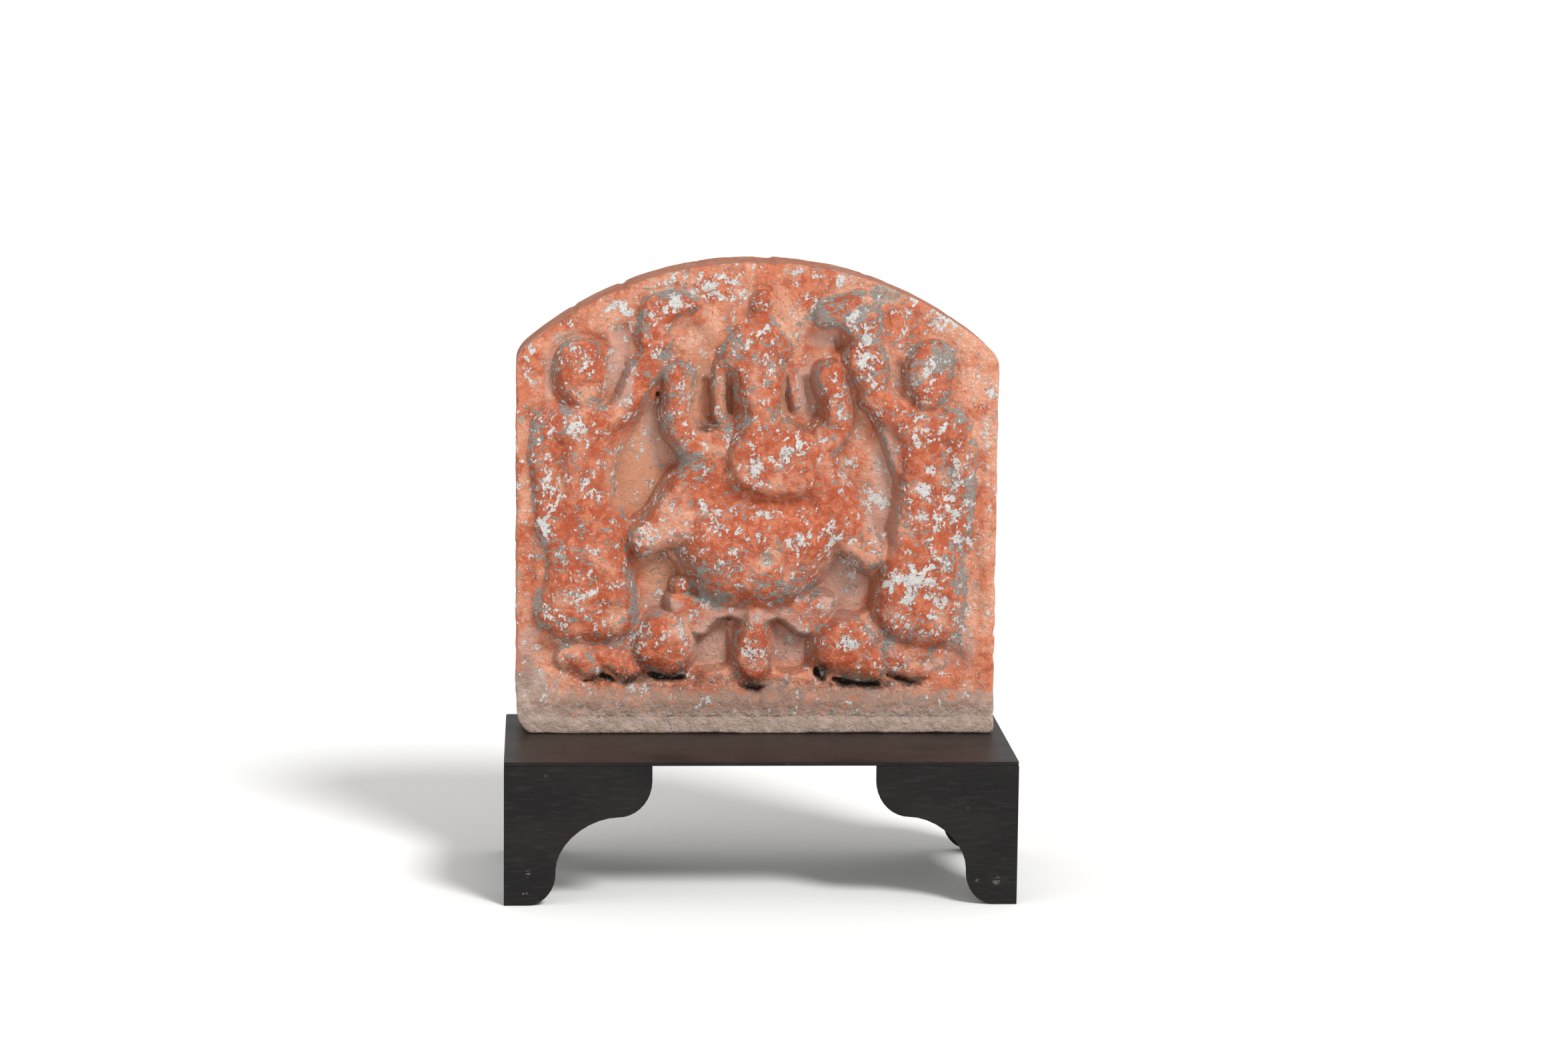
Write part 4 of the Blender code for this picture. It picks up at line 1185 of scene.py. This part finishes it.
@dataclass(frozen=True)
class BlackPaintedSteel:
    """Hot-rolled steel plate under brushed black oil paint: satin, streaked and scuffed in spots, with a
    painted brownish reflection on the faces that look up.
    """

    ground: str = "161515"
    ground_roughness: float = 0.42
    gloss: float = 0.18

    cloud: Grain = Grain(85, 3, 0.5, stretch=(1.6, 1.0, 0.6))
    streak: Grain = Grain(3.2, 4, 0.6, 0.4, (8.0, 8.0, 1.0))
    fine: Grain = Grain(1.4, 4, 0.7, 0.8, (5.0, 5.0, 1.0), 0.4)
    dot: Grain = Grain(3.6, 2, 0.5, offset=1.7)
    dimple: Grain = Grain(3.0, 4, 0.6)
    dimple_height: float = 0.16

    # painted reflection: the faces that look up are lighter and browner, as if they mirrored the orange
    # slab
    upward: Layer = Layer("2A211D", 0.70, 0.20)
    painted_top_reflection: Layer = Layer("2A211D", 0.44, 0.16, roughness=0.36)
    worn: Layer = Layer("2A211D", 0.56, 0.14, 0.35, 0.48)
    streaked: Layer = Layer("343231", 0.57, 0.09, 0.30, 0.5, raised=0.03)
    scuffed: Layer = Layer("857F78", 0.86, 0.06, 0.75, 0.6, raised=-0.03)
    rust_dots: Layer = Layer("4A3329", 0.765, 0.012)
    rust_patches: Layer = Layer("4A3329", 0.80, 0.08, 0.7)
    rust: Layer = Layer("4A3329", roughness=0.8, raised=0.06)

    scuffs: tuple[Spot, ...] = (
        Spot((-0.2855, -0.15, 0.0150), 1.9, 1.0),
        Spot((-0.2815, -0.15, 0.0155), 1.6, 0.9),
        Spot((-0.2800, -0.15, 0.0400), 11.0, 0.45),
        Spot((0.2850, -0.15, 0.0280), 20.0, 0.42),
        Spot((0.2600, -0.15, 0.0300), 12.0, 0.40),
        Spot((0.1850, -0.15, 0.1150), 16.0, 0.22),
        Spot((-0.1500, -0.15, 0.1250), 14.0, 0.22),
        Spot((0.3090, -0.15, 0.1000), 6.0, 0.35),
    )
    rust_spots: tuple[Spot, ...] = (
        Spot((-0.2590, -0.15, 0.1590), 5.0, 0.8),
        Spot((0.2480, -0.15, 0.1190), 3.0, 0.9),
        Spot((0.0300, -0.15, 0.1730), 4.0, 0.6),
    )

    def spots(self, coat: Coat, places: tuple[Spot, ...]) -> Socket:
        """Work out a mask over several soft round spots.

        Args:
            coat: The material.
            places: The spots.

        Returns:
            The mask.
        """
        total = 0.0
        for spot in places:
            inputs = {0: coat.place, 1: spot.middle}
            apart = coat.add("ShaderNodeVectorMath", inputs, "Value", operation="DISTANCE")
            near = coat.add("ShaderNodeMapRange", {
                "Value": apart, "From Min": spot.radius * MM, "From Max": 0.0, "To Max": spot.strength,
            })
            total = coat.add("ShaderNodeMath", {0: total, 1: near}, operation="MAXIMUM")
        return total

    def make(self) -> bpy.types.Material:
        """Build the material.

        Returns:
            The material.
        """
        coat = Coat("black_painted_steel", self.ground, self.ground_roughness, self.gloss)
        normal = coat.add("ShaderNodeNewGeometry", output="Normal")
        top = coat.shown(self.upward, coat.add("ShaderNodeSeparateXYZ", {0: normal}, "Z"))
        cloud, fine = coat.grain(self.cloud), coat.grain(self.fine)
        # painted reflection on the faces that look up
        coat.lay(self.painted_top_reflection, cloud, top)
        coat.lay(self.worn, cloud)
        coat.lay(self.streaked, coat.grain(self.streak))
        coat.lay(self.scuffed, coat.weighed((fine, 0.9), start=self.spots(coat, self.scuffs)))
        patches = coat.weighed((fine, 0.8), start=self.spots(coat, self.rust_spots))
        dots = coat.shown(self.rust_dots, coat.grain(self.dot))
        rusty = {0: dots, 1: coat.shown(self.rust_patches, patches)}
        coat.lay(self.rust, coat.add("ShaderNodeMath", rusty, operation="MAXIMUM"))
        coat.raise_by((coat.grain(self.dimple), self.dimple_height))
        return coat.finish()


@dataclass(frozen=True)
class MattFloor:
    """Pale painted studio floor: matt, with nothing on it."""

    colour: str = "FAFAF8"
    roughness: float = 0.9

    def make(self) -> bpy.types.Material:
        """Build the material."""
        return Coat("matt_pale_floor_paint", self.colour, self.roughness).finish()


# Pieces


@dataclass
class Stele:
    """The slab, carved on its front and rough-dressed on its back.

    Attributes:
        width: Width of the slab.
        height: Height at the crown of its arch.
        thickness: Thickness from rim to back.
        arch_radius: Radius of the arched top.
        rim_plane: Where the rim's plane stands, front to back.
        bottom: Height of its underside over the ground.
        top_corner_round: Radius of the arch's two shoulders.
        bottom_corner_round: Radius of the lower right corner.
        broken_corner_run: Width of the break at the lower left corner.
        broken_corner_rise: Its height.
        broken_corner_curve: How hollow it is.
        edge_round: Radius of the worn edge round the face.
        edge_waves: How that radius varies.
        edge_variation: By how much.
        base_edge: Share of that radius that is left at the base.
        base_edge_height: Height over which it grows to the whole, in millimetres.
        back_bevel: Width of the bevel round the back.
        cells: Grid cells across and up the face before thinning.
        side_rows: Rows of faces through the thickness.
        most_triangles: How many triangles are kept.
        softening: How far the carving's edges are worn, in millimetres.
        lumps: Worn lumps on the figures.
        lump_margin: How far inside a figure they are whole, in millimetres.
        hand_marks: Broad marks of the hand tools and the brush.
        fine_marks: Finer ones.
        fine_share: Their height as a share of the broad ones'.
        figure_margin: How far inside a figure it counts as wholly figure, in millimetres.
        cavity_reach: Width of the hollows that get painted shade, in millimetres.
        shaded_side: How much more painted shade walls get that turn from the light, by their slope to the
            right.
        shaded_top: The same by their slope up.
        steep_from: Slope at which walls start to get dirt and painted shade.
        steep_fade: How much steeper they are where they have all of it.
        back_waves: Hollows of the rough-dressed back.
        back_slant: How much they lean to one side.
        back_draw: How much they are drawn out upwards.
        back_depth: Their depth, in millimetres.
        furrow_depth: Half the depth of the back's furrows, in millimetres.
        furrow_turn: How much their wave turns in a millimetre.
        furrow_slant: How much they lean.
        furrow_bend: How far they wander, in millimetres.
        furrow_bend_length: About how long each bend is, in millimetres.
        back_margin: How far in from the edges the dressing starts.
        side_waves: Facets of the dressed sides.
        side_height: Their height a sixth of the way in, in millimetres.
        side_depth: Their greatest depth, in millimetres.
        seam_back: How far behind the rim a scored line runs along the arched top, in millimetres.
        seam_depth: Its depth, in millimetres.
        seam_width: Half its width, in millimetres.
        outline_waves: How the hand-cut outline wanders.
        outline_stray: How far it wanders inward, in millimetres.
        chip_spacing: About how far apart its chips are, in millimetres.
        chip_level: How much of a wave makes no chip.
        chip_depth: How deep they are, in millimetres.
        stray_reach: How far in from the outline the wandering reaches.
        side_shift: Shift in millimetres that gives the two sides different chips.
        top_shift: Shift that gives the top its own.
        side_start: How far behind the rim the side's weathering starts.
        side_fade: How far on it is whole.
        side_border: How near the outline a point counts as on the side.
        rear_start: How far before the back the rear's look starts.
        rear_fade: How far on it is whole.
        paint_overlap: How far the paint laps over the back's edges.
    """

    width: float = 0.594
    height: float = 0.584
    thickness: float = 0.105
    arch_radius: float = 0.440
    rim_plane: float = 0.023
    bottom: float = 0.1758
    top_corner_round: float = 0.012
    bottom_corner_round: float = 0.008
    broken_corner_run: float = 0.019
    broken_corner_rise: float = 0.026
    broken_corner_curve: float = 1.7
    edge_round: float = 0.006
    edge_waves: Waves = Waves(24.0, 3, 91)
    edge_variation: float = 0.7
    base_edge: float = 0.35
    base_edge_height: float = 60.0
    back_bevel: float = 0.006
    cells: int = 380
    side_rows: int = 22
    most_triangles: int = 192_000
    softening: float = 1.5
    lumps: Waves = Waves(17.0, 3, 41)
    lump_margin: float = 8.0
    hand_marks: Waves = Waves(26.0, 2, 8)
    fine_marks: Waves = Waves(8.0, 3, 28)
    fine_share: float = 0.5
    figure_margin: float = 10.0
    cavity_reach: float = 9.0
    shaded_side: float = 0.7
    shaded_top: float = -0.1
    steep_from: float = 0.5
    steep_fade: float = 1.6
    back_waves: Waves = Waves(30.0, 4, 51)
    back_slant: float = 0.6
    back_draw: float = 0.5
    back_depth: float = 4.5
    furrow_depth: float = 1.2
    furrow_turn: float = 0.42
    furrow_slant: float = 0.8
    furrow_bend: float = 9.0
    furrow_bend_length: float = 60.0
    back_margin: float = 0.02
    side_waves: Waves = Waves(22.0, 4, 71)
    side_height: float = 0.9
    side_depth: float = 1.6
    seam_back: float = 14.0
    seam_depth: float = 1.3
    seam_width: float = 1.6
    outline_waves: Waves = Waves(46.0, 4, 97)
    outline_stray: float = 1.0
    chip_spacing: float = 15.0
    chip_level: float = 0.45
    chip_depth: float = 4.0
    stray_reach: float = 0.012
    side_shift: float = 40.0
    top_shift: float = 900.0
    side_start: float = 0.008
    side_fade: float = 0.016
    side_border: float = 0.004
    rear_start: float = 0.016
    rear_fade: float = 0.008
    paint_overlap: float = 0.035
    relief: Relief = field(default_factory=Relief)
    colouring: Colouring = field(default_factory=Colouring)

    def arch(self, x: np.ndarray) -> np.ndarray:
        """Draw the arched top, with its two shoulders rounded.

        Args:
            x: Places across the slab.

        Returns:
            Its height over the slab's bottom.
        """
        radius = self.top_corner_round
        top = self.height - self.arch_radius + np.sqrt(np.maximum(self.arch_radius**2 - x**2, 0.0))
        past = np.clip(np.abs(x) - (0.5 * self.width - radius), 0.0, radius)
        return top - (radius - np.sqrt(radius**2 - past**2))

    def underside(self, x: np.ndarray) -> np.ndarray:
        """Draw the lower edge: the right corner is worn round, the left one broken off.

        Args:
            x: Places across the slab.

        Returns:
            Its height over the slab's bottom.
        """
        half, radius = 0.5 * self.width, self.bottom_corner_round
        worn = np.clip(x - (half - radius), 0.0, radius)
        broken = np.clip((self.broken_corner_run - (x + half)) / self.broken_corner_run, 0.0, 1.0)
        rise = self.broken_corner_rise * broken**self.broken_corner_curve
        return radius - np.sqrt(radius**2 - worn**2) + rise

    def strayed(self, along: np.ndarray) -> np.ndarray:
        """Work out how far the hand-cut outline lies inside the drawn one.

        Args:
            along: Places along it in millimetres.

        Returns:
            The distance in millimetres.
        """
        level = np.zeros(along.shape)
        waves = np.abs(self.outline_waves.at(along, level))
        chips = unevenness(along, level + 300.0, self.chip_spacing, 99) - self.chip_level
        return self.outline_stray * waves + self.chip_depth * np.clip(chips, 0.0, 1.0)

    def box(self) -> bpy.types.Object:
        """Make a unit box with a fine grid in front and behind, and rows of faces between them.

        Returns:
            The box.
        """
        deselect()
        bpy.ops.mesh.primitive_grid_add(x_subdivisions=self.cells, y_subdivisions=self.cells, size=1.0)
        slab = bpy.context.active_object
        slab.name = slab.data.name = "carved_stele"
        bpy.ops.object.mode_set(mode="EDIT")
        bpy.ops.mesh.select_all(action="SELECT")
        bpy.ops.mesh.extrude_region_move(TRANSFORM_OT_translate={"value": (0.0, 0.0, -1.0)})
        bpy.ops.mesh.select_all(action="DESELECT")
        bpy.ops.object.mode_set(mode="OBJECT")
        level = self.coordinates(slab)[:, 2]
        ends = np.zeros(len(slab.data.edges) * 2, np.int32)
        slab.data.edges.foreach_get("vertices", ends)
        ends = ends.reshape(-1, 2)
        across = np.abs(level[ends[:, 0]] - level[ends[:, 1]]) > 0.5
        slab.data.edges.foreach_set("select", across)
        bpy.ops.object.mode_set(mode="EDIT")
        bpy.ops.mesh.select_mode(type="EDGE")
        bpy.ops.mesh.subdivide(number_cuts=self.side_rows - 1)
        bpy.ops.mesh.select_mode(type="VERT")
        bpy.ops.mesh.select_all(action="SELECT")
        bpy.ops.mesh.normals_make_consistent(inside=False)
        bpy.ops.object.mode_set(mode="OBJECT")
        return slab

    @staticmethod
    def coordinates(piece: bpy.types.Object) -> np.ndarray:
        """Read a mesh's points.

        Args:
            piece: The object that has the mesh.

        Returns:
            The points as rows of three numbers.
        """
        flat = np.zeros(len(piece.data.vertices) * 3, np.float32)
        piece.data.vertices.foreach_get("co", flat)
        return flat.reshape(-1, 3).astype(float)

    def softened(self, table: np.ndarray, reach: float) -> np.ndarray:
        """Blur a table of heights.

        Args:
            table: The heights.
            reach: Width of the bell that blurs them, in millimetres.

        Returns:
            The blurred table.
        """
        for axis, length in ((0, self.height), (1, self.width)):
            spread = reach / (length / MM / self.cells)
            steps = np.arange(-int(3 * spread) - 1, int(3 * spread) + 2)
            bell = np.exp(-0.5 * (steps / spread) ** 2)
            bell /= bell.sum()
            margins = [(0, 0), (0, 0)]
            margins[axis] = (len(bell) // 2,) * 2
            padded = np.pad(table, margins, "edge")
            table = np.apply_along_axis(np.convolve, axis, padded, bell, "valid")
        return table

    def face_tables(self) -> dict[str, np.ndarray]:
        """Work out the face on its own grid, bottom row first.

        Returns:
            Tables of its height, and of how steep, hollow, raised or deep in a gap it is.
        """
        share = np.linspace(-0.5, 0.5, self.cells + 1)
        across, up = np.meshgrid(share, share + 0.5)
        x = across * self.width
        low, high = self.underside(x), self.arch(x)
        z = low + up * (high - low)
        x_mm, z_mm = x / MM, z / MM
        carved, nearest, deep = self.relief.height(x_mm, z_mm)
        height = self.softened(carved, self.softening)
        lumps = eased(nearest / self.lump_margin) * self.lumps.at(x_mm, z_mm)
        tooled = self.hand_marks.at(x_mm, z_mm) + self.fine_share * self.fine_marks.at(x_mm, z_mm)
        height += self.relief.tooling * tooled + self.relief.lumpiness * lumps
        row_step, column_step = self.height / MM / self.cells, self.width / MM / self.cells
        slope_up, slope_across = np.gradient(height, row_step, column_step)

        # steep walls get dirt and painted shade, the painted shade strongest on walls that turn from the
        # light
        slope = np.hypot(slope_up, slope_across)
        shaded = slope + self.shaded_side * slope_across + self.shaded_top * slope_up
        steep = eased((shaded - self.steep_from) / self.steep_fade)
        # painted shade goes where a place lies below its blurred surroundings
        sunk = self.softened(height, self.cavity_reach) - height
        cavity = np.clip(sunk / self.cavity_reach, 0.0, 1.0)
        figure = eased(nearest / self.figure_margin)
        return {"height": height, "steep": steep, "cavity": cavity, "figure": figure, "gap": deep}

    def place(self, slab: bpy.types.Object, tables: dict[str, np.ndarray]) -> None:
        """Bend the unit box into the carved slab.

        Args:
            slab: The unit box.
            tables: The face's tables.
        """
        flat = self.coordinates(slab)
        across, up, depth = flat[:, 0], flat[:, 1] + 0.5, -flat[:, 2]
        column = np.rint((across + 0.5) * self.cells).astype(int)
        row = np.rint(up * self.cells).astype(int)
        height = tables["height"][row, column] * MM
        x = across * self.width
        low, high = self.underside(x), self.arch(x)
        z = low + up * (high - low)
        to_edge = np.minimum(np.minimum(0.5 * self.width - np.abs(x), high - z), z - low)
        x_mm, z_mm = x / MM, z / MM
        varied = 1.0 + self.edge_variation * self.edge_waves.at(x_mm, z_mm)
        radius = self.edge_round * np.clip(varied, 0.5, 2.0)
        radius *= self.base_edge + (1.0 - self.base_edge) * eased(z_mm / self.base_edge_height)
        worn = np.clip(radius - to_edge, 0.0, radius)
        front = self.rim_plane + radius - np.sqrt(radius**2 - worn**2) - height
        back_edge = np.clip(self.back_bevel - to_edge, 0.0, self.back_bevel)
        waves = self.back_waves.at(x_mm + self.back_slant * z_mm, z_mm * self.back_draw)
        dressed = np.abs(waves) * self.back_depth
        bend = self.furrow_bend * unevenness(x_mm, z_mm, self.furrow_bend_length, 60)
        furrow = x_mm * self.furrow_slant + z_mm + bend
        dressed += self.furrow_depth * (1.0 + np.sin(furrow * self.furrow_turn))
        dressed *= eased(to_edge / self.back_margin)
        back = self.rim_plane + self.thickness - back_edge - dressed * MM
        y = front + (back - front) * depth

        # hand-dressed sides: shallow facets and chips, never proud of the outline
        y_mm = y / MM
        rim = (to_edge < HAIR) & (depth > HAIR) & (depth < 1.0 - HAIR)
        from_rims = np.minimum(depth, 1.0 - depth)
        rough = self.side_height * np.abs(self.side_waves.at(x_mm + z_mm, y_mm)) * from_rims * 6.0
        from_seam = (y - self.rim_plane) / MM - self.seam_back
        seam = self.seam_depth * np.exp(-((from_seam / self.seam_width) ** 2)) * (up > 1.0 - HAIR)
        inward = np.where(rim, np.minimum(rough, self.side_depth) + seam, 0.0) * MM
        middle = 0.5 * (low + high)
        x = x - np.sign(x) * np.where(np.abs(across) > 0.5 - HAIR, inward, 0.0)
        z = z + np.where(up > 1.0 - HAIR, inward * np.sign(middle - z), 0.0)

        # the hand-cut outline wanders and is chipped, on the face and behind it alike
        near_side = np.exp(-(0.5 * self.width - np.abs(x)) / self.stray_reach)
        near_top = np.exp(-np.maximum(high - z, 0.0) / self.stray_reach)
        x = x - np.sign(x) * near_side * self.strayed(z_mm + self.side_shift * np.sign(x)) * MM
        z = z - near_top * self.strayed(x_mm + self.top_shift) * MM
        out = np.stack([x, y, z + self.bottom], -1).astype(np.float32)
        slab.data.vertices.foreach_set("co", out.ravel())
        slab.data.update()

    def thin(self, slab: bpy.types.Object) -> None:
        """Keep the given number of triangles, more of them where the form turns.

        Args:
            slab: The carved slab.
        """
        faces = sum(len(face.vertices) - 2 for face in slab.data.polygons)
        thinner = slab.modifiers.new("Thin", "DECIMATE")
        thinner.ratio = min(1.0, self.most_triangles / faces)
        thinner.use_collapse_triangulate = True
        apply_modifiers(slab)

    def colour(self, slab: bpy.types.Object, tables: dict[str, np.ndarray]) -> None:
        """Write how strongly each tint lies at each point of the finished mesh.

        Args:
            slab: The carved slab.
            tables: The face's tables.
        """
        at = self.coordinates(slab)
        x, z = at[:, 0], at[:, 2] - self.bottom
        low, high = self.underside(x), self.arch(x)
        column = np.clip(np.rint((x / self.width + 0.5) * self.cells), 0, self.cells).astype(int)
        row = np.clip(np.rint((z - low) / (high - low) * self.cells), 0, self.cells).astype(int)
        behind = eased((at[:, 1] - self.rim_plane - self.side_start) / self.side_fade)
        to_edge = np.minimum(np.minimum(0.5 * self.width - np.abs(x), high - z), z - low)
        side = behind * (to_edge < self.side_border)
        rear = eased((at[:, 1] - self.rim_plane - self.thickness + self.rear_start) / self.rear_fade)
        x_mm, z_mm = x / MM, z / MM
        face = 1.0 - np.maximum(side, rear)
        shares = self.colouring
        base = 1.0 - eased((z_mm - shares.base_top) / shares.base_fade)
        ledge = shares.ledge_bare * (1.0 - eased((z_mm - shares.ledge_top) / shares.ledge_fade))
        values = {name: tables[name][row, column] * face for name in FACE}
        for tint in Tint:
            values[tint.value] = shares.strength(tint, x_mm, z_mm) * face
        from_line = (z_mm - self.relief.base_line_height) / shares.line_width
        along_line = np.abs(x_mm - shares.line_middle) < shares.line_half
        scored = np.exp(-(from_line**2)) * along_line * face
        values["dark"] = np.maximum(values["dark"], shares.line_dark * scored)
        values["dust"] *= 1.0 - base
        values["weathered"] = np.maximum(values["weathered"], shares.side_weathered * side)
        unpainted = rear * (shares.back_bare + shares.back_barer * eased(to_edge / self.paint_overlap))
        bared = [values["bare"], base, ledge, shares.side_bare * side, unpainted]
        values["bare"] = np.maximum.reduce(bared)
        values["foil"] = np.where(base + rear + side > 0.5, -1.0, values["foil"])
        values["tarnish"] = np.where(base + rear > 0.5, -1.0, values["tarnish"])
        for name, value in values.items():
            made = slab.data.attributes.new(name, "FLOAT", "POINT")
            made.data.foreach_set("value", value.astype(np.float32))

    def build(self) -> bpy.types.Object:
        """Make the slab, dress it and let it stand for its node.

        Returns:
            The finished slab.
        """
        slab = self.box()
        tables = self.face_tables()
        self.place(slab, tables)
        self.thin(slab)
        self.colour(slab, tables)
        activate(slab)
        bpy.ops.object.shade_smooth_by_angle(angle=math.radians(60.0))
        slab.data.materials.append(PaintedSandstone().make())
        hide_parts("stele")
        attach(slab, "root")
        log.info("%s: %d triangles", slab.name, len(slab.data.polygons))
        return slab


@dataclass
class Stand:
    """The welded stand: every plate keeps its node's form and gets ground edges.

    Attributes:
        plates: The stand's nodes.
        ground_edge: Width of the ground edge.
    """

    plates: tuple[str, ...] = (
        "stand_top", "stand_bracket_front_left", "stand_bracket_front_right", "stand_bracket_rear_left",
        "stand_bracket_rear_right", "stand_side_left", "stand_side_right",
    )
    ground_edge: float = 0.0007

    def plate(self, node: str, finish: bpy.types.Material) -> bpy.types.Object:
        """Copy one node's form, merge it, grind its edges and dress it.

        Args:
            node: The node's name.
            finish: The plate's material.

        Returns:
            The finished plate.
        """
        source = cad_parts[node]
        plate = bpy.data.objects.new(f"{node}_plate", source.data.copy())
        bpy.context.scene.collection.objects.link(plate)
        activate(plate)
        bpy.ops.object.mode_set(mode="EDIT")
        bpy.ops.mesh.select_all(action="SELECT")
        bpy.ops.mesh.remove_doubles(threshold=0.00001)
        bpy.ops.mesh.dissolve_limited(angle_limit=math.radians(1.0))
        bpy.ops.mesh.normals_make_consistent(inside=False)
        bpy.ops.object.mode_set(mode="OBJECT")
        grind = plate.modifiers.new("Ground edges", "BEVEL")
        grind.width = self.ground_edge
        grind.segments = 2
        grind.limit_method = "ANGLE"
        grind.angle_limit = math.radians(40.0)
        apply_modifiers(plate)
        bpy.ops.object.shade_smooth_by_angle(angle=math.radians(35.0))
        flat = plate.modifiers.new("Flat faces", "WEIGHTED_NORMAL")
        flat.keep_sharp = True
        apply_modifiers(plate)
        plate.data.materials.clear()
        plate.data.materials.append(finish)
        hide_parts(node)
        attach(plate, "root")
        log.info("%s: %d faces", plate.name, len(plate.data.polygons))
        return plate

    def build(self) -> list[bpy.types.Object]:
        """Make every plate."""
        finish = BlackPaintedSteel().make()
        return [self.plate(node, finish) for node in self.plates]


@dataclass(frozen=True)
class Lamp:
    """A broad soft lamp far away.

    Attributes:
        name: Its name.
        strength: Its strength.
        softness: How wide it looks from the object, in degrees.
        azimuth: Where it stands, in degrees to the right of straight in front.
        elevation: How high it stands, in degrees.
        distance: How far away it is put, which its light doesn't depend on.
    """

    name: str
    strength: float
    softness: float
    azimuth: float
    elevation: float
    distance: float = 3.0

    def build(self) -> None:
        """Add the lamp."""
        data = bpy.data.lights.new(self.name, "SUN")
        data.energy = self.strength
        data.angle = math.radians(self.softness)
        lamp = bpy.data.objects.new(self.name, data)
        side, rise = math.radians(self.azimuth), math.radians(self.elevation)
        level = math.cos(rise)
        away = Vector((math.sin(side) * level, -math.cos(side) * level, math.sin(rise)))
        lamp.rotation_euler = away.to_track_quat("Z", "Y").to_euler()
        lamp.location = away * self.distance
        bpy.context.scene.collection.objects.link(lamp)


@dataclass
class Studio:
    """Camera, light and a pale floor.

    Attributes:
        eye: Where the camera stands.
        yaw: Its turn to the right in degrees.
        pitch: Its tilt down in degrees.
        roll: Its roll in degrees.
        focal_pixels: Focal length in pixels of a picture that is image_width wide.
        image_width: Width of that picture.
        sensor: Width of the camera's sensor in millimetres.
        view_end: How far the camera sees.
        floor_radius: Radius of the floor, which is wide enough to have no edge in the picture.
        sky: The sky's sRGB colour.
        sky_strength: How bright it is.
        lamps: The lamps.
    """

    eye: tuple[float, float, float] = (-0.263, -4.994, 1.187)
    yaw: float = 3.375
    pitch: float = 8.456
    roll: float = 0.618
    focal_pixels: float = 6200.0
    image_width: float = 2352.0
    sensor: float = 36.0
    view_end: float = 500.0
    floor_radius: float = 150.0
    sky: str = "FFFFFF"
    sky_strength: float = 0.60
    lamps: tuple[Lamp, ...] = (
        Lamp("key", strength=2.4, softness=16.0, azimuth=34.0, elevation=45.0),
        Lamp("fill", strength=0.35, softness=60.0, azimuth=-48.0, elevation=30.0),
    )

    def camera(self) -> None:
        """Set up the camera."""
        yaw, pitch, roll = (math.radians(angle) for angle in (self.yaw, self.pitch, self.roll))
        ahead = math.cos(pitch)
        forward = Vector((math.sin(yaw) * ahead, math.cos(yaw) * ahead, -math.sin(pitch)))
        level = Vector((math.cos(yaw), -math.sin(yaw), 0.0))
        upright = level.cross(forward)
        right = level * math.cos(roll) + upright * math.sin(roll)
        up = upright * math.cos(roll) - level * math.sin(roll)
        data = bpy.data.cameras.new("camera")
        data.sensor_width = self.sensor
        data.lens = self.focal_pixels / self.image_width * self.sensor
        data.clip_end = self.view_end
        camera = bpy.data.objects.new("camera", data)
        turned = Matrix((right, up, -forward)).transposed().to_4x4()
        camera.matrix_world = Matrix.Translation(self.eye) @ turned
        bpy.context.scene.collection.objects.link(camera)
        bpy.context.scene.camera = camera

    def floor(self) -> None:
        """Lay a wide pale floor."""
        deselect()
        bpy.ops.mesh.primitive_circle_add(vertices=96, radius=self.floor_radius, fill_type="NGON")
        floor = bpy.context.active_object
        floor.name = floor.data.name = "floor"
        floor.data.materials.append(MattFloor().make())

    def build(self) -> None:
        """Set up the whole studio."""
        scene = bpy.context.scene
        scene.view_settings.view_transform = "Standard"
        world = bpy.data.worlds.new("studio")
        world.use_nodes = True
        background = world.node_tree.nodes["Background"]
        background.inputs["Color"].default_value = linear(self.sky)
        background.inputs["Strength"].default_value = self.sky_strength
        scene.world = world
        self.camera()
        self.floor()
        for lamp in self.lamps:
            lamp.build()


def main() -> None:
    """Build the studio and every piece, in order."""
    logging.basicConfig(level=logging.INFO, format="%(name)s: %(message)s")
    Studio().build()
    Stele().build()
    Stand().build()


if __name__ == "__main__":
    main()
